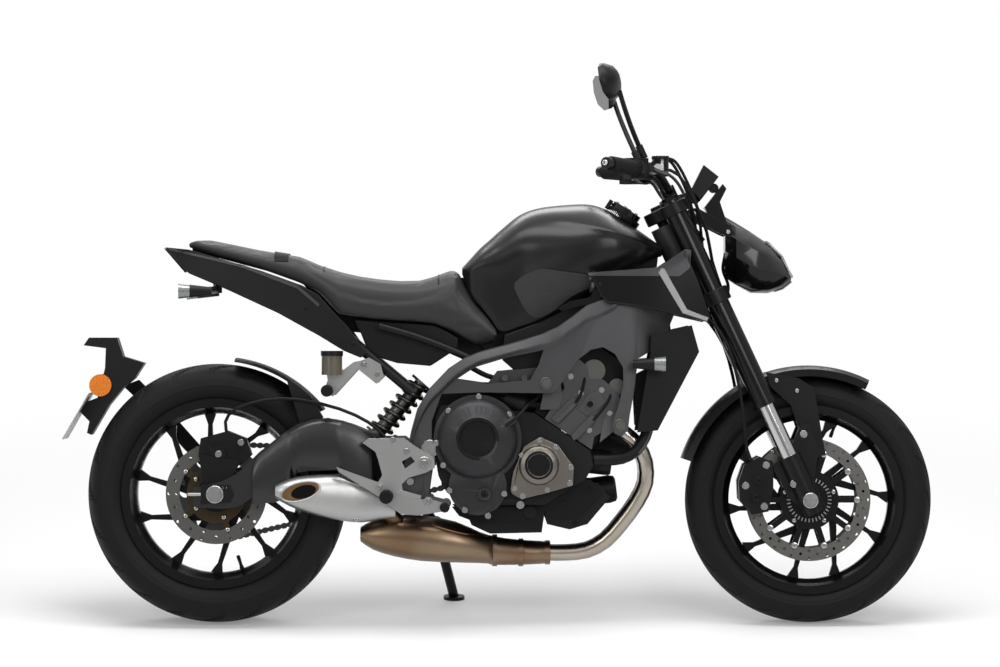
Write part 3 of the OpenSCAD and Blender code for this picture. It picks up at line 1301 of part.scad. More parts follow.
module meter() {
  color(black_tint) park() {
    plate(head_xz(meter_shares), -meter_half_share * unit_size, meter_half_share * unit_size);
    plate(head_xz(meter_stay_shares), -meter_stay_half_share * unit_size, meter_stay_half_share * unit_size);
  }
}

module headlight() {
  color(black_tint) park() {
    loft([for (r = headlight_rows_shares) headlight_ring(r)]);
    plate(head_xz(cowl_shares), -cowl_half_share * unit_size, cowl_half_share * unit_size);
    both() plate(head_xz(lamp_stay_shares), (lamp_stay_y_share - lamp_stay_t_share) * unit_size, lamp_stay_y_share * unit_size);
  }
}

// Ring of the headlight shell, up the right side and down the left
function headlight_ring(row) = let (right = [for (p = headlight_section_shares)
  head_spot3([row[0], -row[3] * p[1], row[1] + (row[2] - row[1]) * p[0]])])
  concat(right, [for (p = flip(right)) if (p[1] < 0) [p[0], -p[1], p[2]]]);

// Wheels
module tyre(w, h, rim_w) {
  bead = rim_w / 2 - gap;
  side = concat([[0, bead], [flange_h + gap, bead]],
    [for (p = smooth(tyre_out_shares, steps)) [p[1] * h, p[0] * w / 2]]);
  inside = concat([for (p = smooth(tyre_in_shares, steps)) [p[1] * h, p[0] * w / 2]],
    [[flange_h, bead - bead_t], [0, bead - bead_t]]);
  full = concat(side, [for (i = [len(side) - 2:-1:0]) [side[i][0], -side[i][1]]],
    [for (i = [len(inside) - 1:-1:1]) [inside[i][0], -inside[i][1]]], inside);
  rotate([90, 0, 0]) rotate_extrude($fn = round_n * 2) polygon([for (p = full) [p[0] + rim_d / 2 + gap, p[1]]]);
}

module rim(w) {
  r = rim_d / 2;
  well = w / 2 * well_share;
  half = [[r + flange_h, w / 2 + flange_t], [r + flange_h, w / 2], [r, w / 2], [r - seat_drop, w / 2 - flange_h],
    [r - well_drop, well]];
  under = [[r - well_drop - rim_wall, well], [r - seat_drop - rim_wall, w / 2 - flange_h],
    [r - edge_drop, w / 2 + flange_t]];
  rotate([90, 0, 0]) rotate_extrude($fn = round_n * 2) polygon(concat(half, flip([for (p = half) [p[0], -p[1]]]),
    flip([for (p = under) [p[0], -p[1]]]), under));
}

// Cast spokes in pairs, each leaned off the centre
module spokes(first) {
  edge = rim_d / 2 - well_drop - rim_bite;
  for (k = [0:pairs - 1], s = [0, 1]) rotate([0, 0, first + k * pair_angle - s * spoke_pair]) {
    off = s == 0 ? spoke_far : spoke_near;
    turn = asin(off / edge);
    len_in = edge * cos(turn);
    neck = len_in * (1 - spoke_flare_share);
    translate([edge, 0]) rotate([0, 0, 180 - turn]) polygon([[0, -spoke_flare / 2], [neck, -spoke_w / 2],
      [len_in, -spoke_w], [len_in, spoke_w], [neck, spoke_w / 2], [0, spoke_flare / 2]]);
  }
}

module wheel(w, hub_w, first) {
  difference() {
    union() {
      rim(w);
      translate([0, spoke_t / 2, 0]) rotate([90, 0, 0]) linear_extrude(spoke_t) spokes(first);
      bar([0, 0], hub_flange_r, -spoke_t / 2 - over, spoke_t / 2 + over);
      bar([0, 0], hub_r, -hub_w / 2, hub_w / 2);
    }
    bar([0, 0], axle_r + run_gap, -reach, reach);
  }
}

module front_wheel() {
  color(black_tint) park() translate([wheelbase, 0, front_r]) wheel(front_rim_w, front_hub_w, front_spoke_at);
}

module front_tyre() {
  color(rubber_tint) park() translate([wheelbase, 0, front_r]) tyre(front_tyre_w, front_tyre_h, front_rim_w);
}

module disc(r, band, arms) {
  step = 360 / (arms * holes_per_arm);
  rotate([-90, 0, 0]) linear_extrude(disc_t) difference() {
    union() {
      difference() {
        circle(r, $fn = round_n);
        circle(r - band, $fn = round_n);
      }
      circle(carrier_r + carrier_w, $fn = round_n);
      for (k = [0:arms - 1]) rotate(k * 360 / arms) translate([carrier_r, -carrier_w / 2])
        square([r - band - carrier_r + disc_bite, carrier_w]);
    }
    circle(hub_r + gap, $fn = round_n);
    for (k = [0:arms * holes_per_arm - 1], p = hole_rows_shares) rotate((k + p[1]) * step) translate([r - band * p[0], 0])
      circle(hole_r, $fn = hole_n);
  }
}

module front_discs() {
  color(steel_tint) park() translate([wheelbase, 0, front_r]) both() translate([0, front_disc_y - disc_t / 2, 0])
    disc(front_disc_d / 2, disc_band, carrier_arms);
}

module rear_wheel() {
  color(black_tint) park() translate([0, 0, rear_r]) wheel(rear_rim_w, rear_hub_w, rear_spoke_at);
}

module rear_tyre() {
  color(rubber_tint) park() translate([0, 0, rear_r]) tyre(rear_tyre_w, rear_tyre_h, rear_rim_w);
}

module rear_disc() {
  color(steel_tint) park() translate([0, -rear_disc_y - disc_t / 2, rear_r]) disc(rear_disc_d / 2, rear_band, rear_arms);
}

module rear_sprocket() {
  pitch = 360 / sprocket_teeth;
  color(steel_tint) park() translate([0, 0, rear_r]) difference() {
    union() {
      translate([0, sprocket_y + sprocket_t / 2, 0]) rotate([90, 0, 0]) linear_extrude(sprocket_t) difference() {
        polygon([for (k = [0:sprocket_teeth - 1], i = [0:3]) let (a = (k + tooth_shares[i]) * pitch,
          r = i % 3 == 0 ? sprocket_r - tooth_h : sprocket_r) r * [cos(a), sin(a)]]);
        for (k = [0:sprocket_windows - 1]) rotate(k * 360 / sprocket_windows) translate([sprocket_window_at, 0])
          circle(sprocket_window_r, $fn = round_n);
      }
      bar([0, 0], sprocket_hub_r, rear_hub_w / 2, sprocket_y);
    }
    bar([0, 0], axle_r + gap, -reach, reach);
  }
}

module side_stand() {
  at = spot3(stand_at_share) + [0, cos(stand_tilt), sin(stand_tilt)] * stand_eye_w / 2;
  foot_y = stand_foot_share[1] * unit_size;
  foot = [fore(stand_foot_share[0]), foot_y, foot_y * tan(lean) + stand_pad_t / 2];
  color(black_tint) park() {
    stand_place() bar([0, 0], stand_eye_r, 0, stand_eye_w);
    stand_place() bar([0, 0], stand_pin_r, -stand_lug_w - over, stand_eye_w);
    difference() {
      rod(at, foot, leg_d / 2);
      stand_place() bar([0, 0], stand_eye_r + leg_d, -reach, 0);
    }
    translate([foot[0], foot_y, foot_y * tan(lean) - lift / cos(lean)]) rotate([lean, 0, 0])
      cylinder(r = stand_pad_r, h = stand_pad_t, $fn = round_n);
  }
}

main_frame();
subframe();
swingarm();
rear_shock();
crankcase();
cylinder_head();
clutch_cover();
pickup_cover();
left_covers();
header_pipes();
exhaust_chamber();
muffler();
radiator();
fuel_tank();
tank_covers();
air_scoops();
seat();
rear_panels();
marker_lamps();
foot_rests();
rear_caliper();
rear_fenders();
number_plate();
chain();
rear_axle();
fork_clamps();
fork_tubes();
fork_sliders();
front_axle();
front_fender();
front_brakes();
handlebar();
grips();
bar_controls();
mirrors();
meter();
headlight();
front_wheel();
front_tyre();
front_discs();
rear_wheel();
rear_tyre();
rear_disc();
rear_sprocket();
side_stand();
fuel_cap();
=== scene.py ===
"""Looks for a naked road motorcycle that leans on its side stand.

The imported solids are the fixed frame. Sizes and places are metres in the upright bike frame: X runs forward
from the rear axle, Y to the rider's left and Z up from the ground. The stance leans them onto the stand.
"""

from __future__ import annotations

import json
import logging
import math
from collections.abc import Callable, Sequence
from dataclasses import dataclass
from enum import Enum

import bmesh
import bpy
from bmesh.types import BMEdge, BMesh, BMVert
from mathutils import Matrix, Vector
from mathutils.bvhtree import BVHTree

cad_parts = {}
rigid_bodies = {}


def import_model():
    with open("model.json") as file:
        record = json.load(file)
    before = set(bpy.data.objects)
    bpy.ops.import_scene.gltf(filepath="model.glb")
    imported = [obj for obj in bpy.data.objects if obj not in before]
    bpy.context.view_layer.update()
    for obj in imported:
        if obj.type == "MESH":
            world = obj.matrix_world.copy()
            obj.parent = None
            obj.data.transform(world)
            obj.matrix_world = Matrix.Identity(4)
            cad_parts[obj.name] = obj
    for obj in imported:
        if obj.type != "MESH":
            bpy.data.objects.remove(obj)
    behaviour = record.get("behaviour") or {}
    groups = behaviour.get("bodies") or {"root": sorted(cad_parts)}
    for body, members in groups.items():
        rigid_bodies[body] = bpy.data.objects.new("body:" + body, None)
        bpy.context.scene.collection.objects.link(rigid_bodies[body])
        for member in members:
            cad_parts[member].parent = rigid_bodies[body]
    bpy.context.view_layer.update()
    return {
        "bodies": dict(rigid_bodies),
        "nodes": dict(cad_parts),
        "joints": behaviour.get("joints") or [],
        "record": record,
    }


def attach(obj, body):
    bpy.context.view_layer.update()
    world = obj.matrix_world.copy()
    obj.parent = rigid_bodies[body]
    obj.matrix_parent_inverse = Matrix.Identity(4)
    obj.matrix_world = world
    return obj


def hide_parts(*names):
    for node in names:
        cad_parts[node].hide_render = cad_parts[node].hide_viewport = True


LOG = logging.getLogger("motorcycle")

REAR_AXLE_H = 0.315
FRONT_AXLE = Vector((1.44, 0.0, 0.300))
REAR_AXLE = Vector((0.0, 0.0, REAR_AXLE_H))
WELD = 2e-5
FLAT_ANGLE = math.radians(0.6)
SNAP = 1e-6
TAU = 2 * math.pi
IDENTITY = Matrix.Identity(4)
UP = Vector((0.0, 0.0, 1.0))
SIDES = (-1, 1)
BUMP_DEPTH = 0.002

FRONT_RING_R = 0.114
REAR_RING_R = 0.0888
RING_SLACK = 0.0005
CLUTCH_DISC = (0.635, 0.45, 0.0435)
PICKUP_CAP = (0.783, 0.386, 0.0275)
CAM_PLUGS = ((0.917, 0.614, 0.0275), (0.972, 0.575, 0.0205))
HEAD_SIDE_Y = 0.1125
RAKE = math.radians(25.0)
FORK_Y = 0.105
FILLER_TILT = math.radians(33.0)
FILLER_FOOT = Vector((0.99, 0.0, 0.99))
FILLER_OUT = Vector((math.sin(FILLER_TILT), 0.0, math.cos(FILLER_TILT)))
TAIL_LENS_X = -0.058
FRONT_LENS_X = 1.061
PERCH = 0.195
STATIONS = 46
PROBES = 150
PROBE_STEP = 0.003
LEAST_RUN = 7
PANEL_JUMP = 0.03
FILL_FRAMES = 20
MOST_SWELL = 0.005

Pick = Callable[[Vector, Vector], int]
Colour = tuple[float, float, float]


class Head(Enum):
    """Kind of bolt head."""

    HEX = "hex"
    SOCKET = "socket"
    BUTTON = "button"


@dataclass(frozen=True)
class Stance:
    """Turns the upright bike frame into the leaned row frame."""

    matrix: Matrix

    @classmethod
    def from_joints(cls, joints: Sequence[dict]) -> "Stance":
        """Works the lean and the place out from the rear wheel's joint.

        Args:
            joints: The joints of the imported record.

        Returns:
            The stance of the parked bike.
        """
        rear = next(j for j in joints if j["name"] == "rear_wheel_spin")
        lean = math.atan2(-rear["axis"][2], rear["axis"][1])
        turn = Matrix.Rotation(-lean, 4, "X")
        shift = Vector(rear["pos_m"]) - turn @ REAR_AXLE
        return cls(Matrix.Translation(shift) @ turn)

    def place(self, point: Sequence[float]) -> Vector:
        """Returns a point of the bike frame in the row frame."""
        return self.matrix @ Vector(point)


def fill(tree: bpy.types.NodeTree, node: bpy.types.Node, inputs: dict) -> bpy.types.Node:
    """Fills a node's inputs, each with a value or with a link from a socket.

    Args:
        tree: The tree that holds the node.
        node: The node.
        inputs: A value or a socket for each input's name or number.

    Returns:
        The same node.
    """
    for key, value in inputs.items():
        if isinstance(value, bpy.types.NodeSocket):
            tree.links.new(value, node.inputs[key])
        else:
            node.inputs[key].default_value = value
    return node


def add_node(tree: bpy.types.NodeTree, kind: str, inputs: dict | None = None,
             **settings: object) -> bpy.types.Node:
    """Adds a shader node.

    Args:
        tree: The tree that gets it.
        kind: Its kind, without the leading ShaderNode.
        inputs: What fills its inputs.
        settings: Its other settings.

    Returns:
        The new node.
    """
    node = tree.nodes.new("ShaderNode" + kind)
    for key, value in settings.items():
        setattr(node, key, value)
    return fill(tree, node, inputs or {})


def maths(tree: bpy.types.NodeTree, operation: str, *values: object) -> bpy.types.NodeSocket:
    """Adds a maths node on values or sockets and returns its result."""
    return add_node(tree, "Math", dict(enumerate(values)), operation=operation).outputs[0]


class ShaderGroups:
    """Node groups that several finishes share."""

    def __init__(self) -> None:
        """Builds each group once."""
        self.grain = self._grain()
        self.wear = self._wear()
        self.brushed = self._brushed()
        self.heat = self._heat()

    @staticmethod
    def _new(name: str, inputs: dict[str, float | Colour],
             outputs: Sequence[str]) -> tuple[bpy.types.NodeTree, bpy.types.NodeOutputs, bpy.types.Node]:
        """Starts a group with named sockets.

        Args:
            name: The group's name.
            inputs: Each input's default, which is a colour or a number.
            outputs: Names of the outputs, of which Color is a colour.

        Returns:
            The tree, the sockets that its inputs give and its output node.
        """
        tree = bpy.data.node_groups.new(name, "ShaderNodeTree")
        for label, value in inputs.items():
            coloured = isinstance(value, tuple)
            kind = "NodeSocketColor" if coloured else "NodeSocketFloat"
            socket = tree.interface.new_socket(label, in_out="INPUT", socket_type=kind)
            socket.default_value = (*value, 1.0) if coloured else value
        for label in outputs:
            kind = "NodeSocketColor" if label == "Color" else "NodeSocketFloat"
            tree.interface.new_socket(label, in_out="OUTPUT", socket_type=kind)
        return tree, tree.nodes.new("NodeGroupInput").outputs, tree.nodes.new("NodeGroupOutput")

    def _grain(self) -> bpy.types.NodeTree:
        """Mottled colour, uneven gloss and a fine moulded or cast grain."""
        tree, given, out = self._new("surface_grain", {
            "Color": (0.5, 0.5, 0.5), "Mottle": 0.1, "Mottle Scale": 8.0, "Roughness": 0.4,
            "Roughness Spread": 0.06,
            "Grain Scale": 700.0}, ("Color", "Roughness", "Height"))
        where = add_node(tree, "TexCoord").outputs["Object"]
        broad = add_node(tree, "TexNoise", {"Detail": 5.0, "Vector": where, "Scale": given["Mottle Scale"]})
        fine = add_node(tree, "TexNoise", {"Detail": 2.0, "Vector": where, "Scale": given["Grain Scale"]})
        centred = maths(tree, "SUBTRACT", broad.outputs["Fac"], 0.5)
        tint = maths(tree, "MULTIPLY_ADD", centred, given["Mottle"], 1.0)
        shade = add_node(tree, "VectorMath", operation="SCALE")
        fill(tree, shade, {0: given["Color"], "Scale": tint})
        gloss = maths(tree, "MULTIPLY_ADD", centred, given["Roughness Spread"], given["Roughness"])
        fill(tree, out, {"Color": shade.outputs[0], "Roughness": gloss, "Height": fine.outputs["Fac"]})
        return tree

    @staticmethod
    def _blend(tree: bpy.types.NodeTree, out: bpy.types.Node, factor: bpy.types.NodeSocket,
               first: bpy.types.NodeSocket,
               second: bpy.types.NodeSocket) -> None:
        """Mixes two colours by a factor into a group's colour output."""
        mix = add_node(tree, "Mix", {"Factor": factor, "A": first, "B": second}, data_type="RGBA")
        fill(tree, out, {"Color": mix.outputs["Result"]})

    def _wear(self) -> bpy.types.NodeTree:
        """Lighter, rubbed colour along outer edges."""
        tree, given, out = self._new("edge_wear", {
            "Color": (0.5, 0.5, 0.5), "Worn Color": (0.8, 0.8, 0.8), "Amount": 0.3}, ("Color",))
        bend = add_node(tree, "NewGeometry").outputs["Pointiness"]
        edge = add_node(tree, "MapRange", {"From Min": 0.52, "From Max": 0.62, "Value": bend})
        amount = maths(tree, "MULTIPLY", edge.outputs["Result"], given["Amount"])
        self._blend(tree, out, amount, given["Color"], given["Worn Color"])
        return tree

    def _brushed(self) -> bpy.types.NodeTree:
        """Fine parallel polishing lines along X."""
        tree, given, out = self._new("brushed_lines", {"Roughness": 0.3, "Spread": 0.1},
                                     ("Roughness", "Height"))
        where = add_node(tree, "TexCoord").outputs["Object"]
        stretch = add_node(tree, "Mapping", {"Scale": (18.0, 900.0, 900.0),
                                             "Vector": where}).outputs["Vector"]
        lines = add_node(tree, "TexNoise", {"Scale": 1.0, "Detail": 3.0, "Vector": stretch}).outputs["Fac"]
        gloss = maths(tree, "MULTIPLY_ADD", lines, given["Spread"], given["Roughness"])
        fill(tree, out, {"Roughness": gloss, "Height": lines})
        return tree

    def _heat(self) -> bpy.types.NodeTree:
        """Straw, bronze and brown bands where steel has run hot."""
        tree, given, out = self._new("heat_tint", {
            "Cool Color": (0.5, 0.48, 0.45), "Hot Color": (0.3, 0.17, 0.09), "Scale": 6.0, "Amount": 0.7},
            ("Color",))
        where = add_node(tree, "TexCoord").outputs["Object"]
        cloud = add_node(tree, "TexNoise", {
            "Detail": 3.0, "Distortion": 0.6, "Vector": where, "Scale": given["Scale"]}).outputs["Fac"]
        spread = add_node(tree, "MapRange", {"From Min": 0.3, "From Max": 0.7, "Value": cloud})
        amount = maths(tree, "MULTIPLY", spread.outputs["Result"], given["Amount"])
        self._blend(tree, out, amount, given["Cool Color"], given["Hot Color"])
        return tree


class Pattern(Enum):
    """What a finish adds to its colour and grain."""

    PLAIN = "plain"
    BRUSHED = "brushed"
    HEAT = "heat"
    VINYL = "vinyl"
    KNURL = "knurl"


@dataclass(frozen=True)
class Finish:
    """One surface finish, from its colour to its grain."""

    name: str
    colour: Colour
    roughness: float
    metallic: float = 0.0
    mottle: float = 0.12
    mottle_scale: float = 9.0
    roughness_spread: float = 0.08
    grain_scale: float = 700.0
    grain: float = 0.04
    wear: float = 0.0
    worn: Colour = (0.5, 0.5, 0.5)
    coat: float = 0.0
    coat_roughness: float = 0.08
    specular: float = 0.5
    pattern: Pattern = Pattern.PLAIN
    hot: Colour = (0.3, 0.17, 0.09)

    def build(self, groups: ShaderGroups) -> bpy.types.Material:
        """Makes the node material.

        Args:
            groups: The shared shader groups.

        Returns:
            The finished material.
        """
        material = bpy.data.materials.new(self.name)
        material.use_nodes = True
        tree = material.node_tree
        grain = add_node(tree, "Group", node_tree=groups.grain)
        fill(tree, grain, {
            "Color": (*self.colour, 1.0), "Mottle": self.mottle, "Mottle Scale": self.mottle_scale,
            "Roughness": self.roughness, "Roughness Spread": self.roughness_spread,
            "Grain Scale": self.grain_scale})
        colour, roughness, height = (grain.outputs[k] for k in ("Color", "Roughness", "Height"))
        if self.pattern is Pattern.HEAT:
            heat = add_node(tree, "Group", node_tree=groups.heat)
            fill(tree, heat, {"Hot Color": (*self.hot, 1.0), "Cool Color": colour})
            colour = heat.outputs["Color"]
        if self.pattern in (Pattern.BRUSHED, Pattern.HEAT):
            lines = add_node(tree, "Group", node_tree=groups.brushed)
            fill(tree, lines, {"Spread": self.roughness_spread, "Roughness": roughness})
            roughness, height = lines.outputs["Roughness"], lines.outputs["Height"]
        if self.pattern in (Pattern.VINYL, Pattern.KNURL):
            height = self._cells(tree)
        if self.wear > 0:
            wear = add_node(tree, "Group", node_tree=groups.wear)
            fill(tree, wear, {"Worn Color": (*self.worn, 1.0), "Amount": self.wear, "Color": colour})
            colour = wear.outputs["Color"]
        bump = add_node(tree, "Bump", {"Strength": self.grain, "Distance": BUMP_DEPTH, "Height": height})
        fill(tree, tree.nodes["Principled BSDF"], {
            "Base Color": colour, "Roughness": roughness, "Metallic": self.metallic, "Coat Weight": self.coat,
            "Coat Roughness": self.coat_roughness, "Specular IOR Level": self.specular,
            "Normal": bump.outputs["Normal"]})
        return material

    def _cells(self, tree: bpy.types.NodeTree) -> bpy.types.NodeSocket:
        """Adds leather cells or a pressed knurl.

        Args:
            tree: The material's tree.

        Returns:
            The height socket.
        """
        where = add_node(tree, "TexCoord").outputs["Object"]
        feature = "DISTANCE_TO_EDGE" if self.pattern is Pattern.VINYL else "F1"
        cells = add_node(tree, "TexVoronoi", {"Scale": self.grain_scale, "Vector": where}, feature=feature)
        return cells.outputs["Distance"]


SATIN_PAINT = Finish("satin_paint", (0.006, 0.006, 0.0065), 0.3, coat=0.12, coat_roughness=0.2, grain=0.006,
                     specular=0.22)
GLOSS_BLACK = Finish("gloss_black", (0.004, 0.004, 0.0045), 0.17, coat=0.18, coat_roughness=0.06, grain=0.003,
                     specular=0.2)
CAST_GREY = Finish("cast_grey", (0.062, 0.062, 0.065), 0.4, metallic=0.55, grain=0.05, wear=0.2,
                   worn=(0.2, 0.2, 0.2), specular=0.2)
COVER_GREY = Finish("cover_grey", (0.034, 0.034, 0.036), 0.42, metallic=0.4, grain=0.05, wear=0.2,
                    worn=(0.14, 0.14, 0.14), specular=0.2)
ENGINE_BLACK = Finish("engine_black", (0.007, 0.007, 0.0075), 0.46, metallic=0.2, grain=0.06, wear=0.15,
                      worn=(0.08, 0.08, 0.08), specular=0.16)
GUNMETAL = Finish("gunmetal_bronze", (0.17, 0.153, 0.132), 0.32, metallic=0.9, pattern=Pattern.BRUSHED,
                  grain=0.02)
SATIN_BLACK = Finish("satin_black_metal", (0.006, 0.006, 0.0065), 0.36, metallic=0.1, grain=0.02, wear=0.1,
                     worn=(0.06, 0.06, 0.06), specular=0.18)
FORK_BLACK = Finish("fork_black", (0.007, 0.007, 0.0075), 0.22, metallic=0.3, coat=0.15, grain=0.008,
                    specular=0.2)
WHEEL_BLACK = Finish("wheel_black", (0.0045, 0.0045, 0.005), 0.26, coat=0.12, coat_roughness=0.12,
                     grain=0.005, specular=0.18)
DARK_STEEL = Finish("dark_steel", (0.12, 0.118, 0.11), 0.36, metallic=0.9, grain=0.03)
DISC_STEEL = Finish("disc_steel", (0.13, 0.127, 0.12), 0.34, metallic=1.0, pattern=Pattern.BRUSHED,
                    grain=0.02)
CARRIER_GOLD = Finish("carrier_bronze", (0.05, 0.036, 0.02), 0.42, metallic=0.9, grain=0.02)
PIPE_STEEL = Finish("pipe_steel", (0.44, 0.43, 0.4), 0.2, metallic=1.0, pattern=Pattern.HEAT,
                    hot=(0.32, 0.25, 0.17), grain=0.01)
HEAT_STEEL = Finish("heat_steel", (0.27, 0.205, 0.14), 0.32, metallic=1.0, pattern=Pattern.HEAT,
                    hot=(0.15, 0.085, 0.045), grain=0.02)
OUTLET_BRONZE = Finish("outlet_bronze", (0.3, 0.18, 0.09), 0.3, metallic=0.9, pattern=Pattern.HEAT,
                       hot=(0.12, 0.06, 0.03), grain=0.03)
# Soot, with painted shade standing in for the depth of the outlet's bore.
SOOT_AND_PAINTED_SHADE = Finish("outlet_soot_and_painted_shade", (0.006, 0.005, 0.0045), 0.7, grain=0.1, grain_scale=700.0, specular=0.1)
ARM_BLACK = Finish("arm_black", (0.007, 0.007, 0.0075), 0.33, coat=0.2, coat_roughness=0.3, grain=0.01,
                   specular=0.42)
GUARD_BLACK = Finish("guard_black", (0.0045, 0.0045, 0.005), 0.3, coat=0.04, coat_roughness=0.1, grain=0.004,
                     specular=0.09)
HEAD_GREY = Finish("head_grey", (0.075, 0.075, 0.077), 0.4, metallic=0.5, grain=0.05, wear=0.2,
                   worn=(0.2, 0.2, 0.2), specular=0.25)
SATIN_ALLOY = Finish("satin_alloy", (0.4, 0.4, 0.395), 0.36, metallic=1.0, pattern=Pattern.BRUSHED,
                     grain=0.015)
CAST_ALLOY = Finish("bright_cast_alloy", (0.44, 0.44, 0.435), 0.3, metallic=1.0, grain=0.06,
                    grain_scale=420.0)
CHROME = Finish("hard_chrome", (0.5, 0.5, 0.51), 0.12, metallic=1.0, mottle=0.04, roughness_spread=0.03,
                grain=0.004)
ZINC = Finish("zinc_bolt", (0.4, 0.4, 0.395), 0.25, metallic=1.0, grain=0.02)
TYRE_RUBBER = Finish("tyre_rubber", (0.0075, 0.0075, 0.0075), 0.62, grain=0.08, grain_scale=520.0,
                     specular=0.16, mottle=0.2)
SOFT_RUBBER = Finish("soft_rubber", (0.007, 0.007, 0.007), 0.6, grain=0.1, grain_scale=900.0, specular=0.16)
MATTE_PLASTIC = Finish("matte_plastic", (0.0065, 0.0065, 0.007), 0.45, grain=0.06, grain_scale=1100.0,
                       specular=0.18)
PRESSED_PLASTIC = Finish("pressed_plastic", (0.034, 0.034, 0.035), 0.5, grain=0.35, grain_scale=420.0,
                         pattern=Pattern.KNURL, specular=0.2)
VINYL = Finish("seat_vinyl", (0.036, 0.036, 0.037), 0.48, grain=0.25, grain_scale=480.0,
               pattern=Pattern.VINYL, specular=0.25)
AMBER = Finish("amber_lens", (0.75, 0.2, 0.012), 0.22, coat=0.3, grain=0.3, grain_scale=260.0,
               pattern=Pattern.KNURL, specular=0.3)
CLEAR_LENS = Finish("clear_lens", (0.24, 0.245, 0.25), 0.14, metallic=0.5, coat=0.5, grain=0.12,
                    grain_scale=220.0, pattern=Pattern.KNURL)
RED_LENS = Finish("red_lens", (0.2, 0.012, 0.012), 0.15, coat=0.4, grain=0.2, grain_scale=220.0,
                  pattern=Pattern.KNURL)
SCREEN = Finish("meter_screen", (0.02, 0.023, 0.022), 0.1, coat=0.5, grain=0.0, mottle=0.05)
RESERVOIR = Finish("smoked_reservoir", (0.1, 0.085, 0.06), 0.3, coat=0.2, grain=0.02)
PALE_TRIM = Finish("pale_trim", (0.26, 0.26, 0.265), 0.35, metallic=0.5, grain=0.01)
PLATE_GREY = Finish("blank_plate", (0.5, 0.5, 0.49), 0.4, grain=0.01)
MIRROR_GLASS = Finish("mirror_glass", (0.05, 0.052, 0.055), 0.03, metallic=1.0, mottle=0.0,
                      roughness_spread=0.01, grain=0.0)


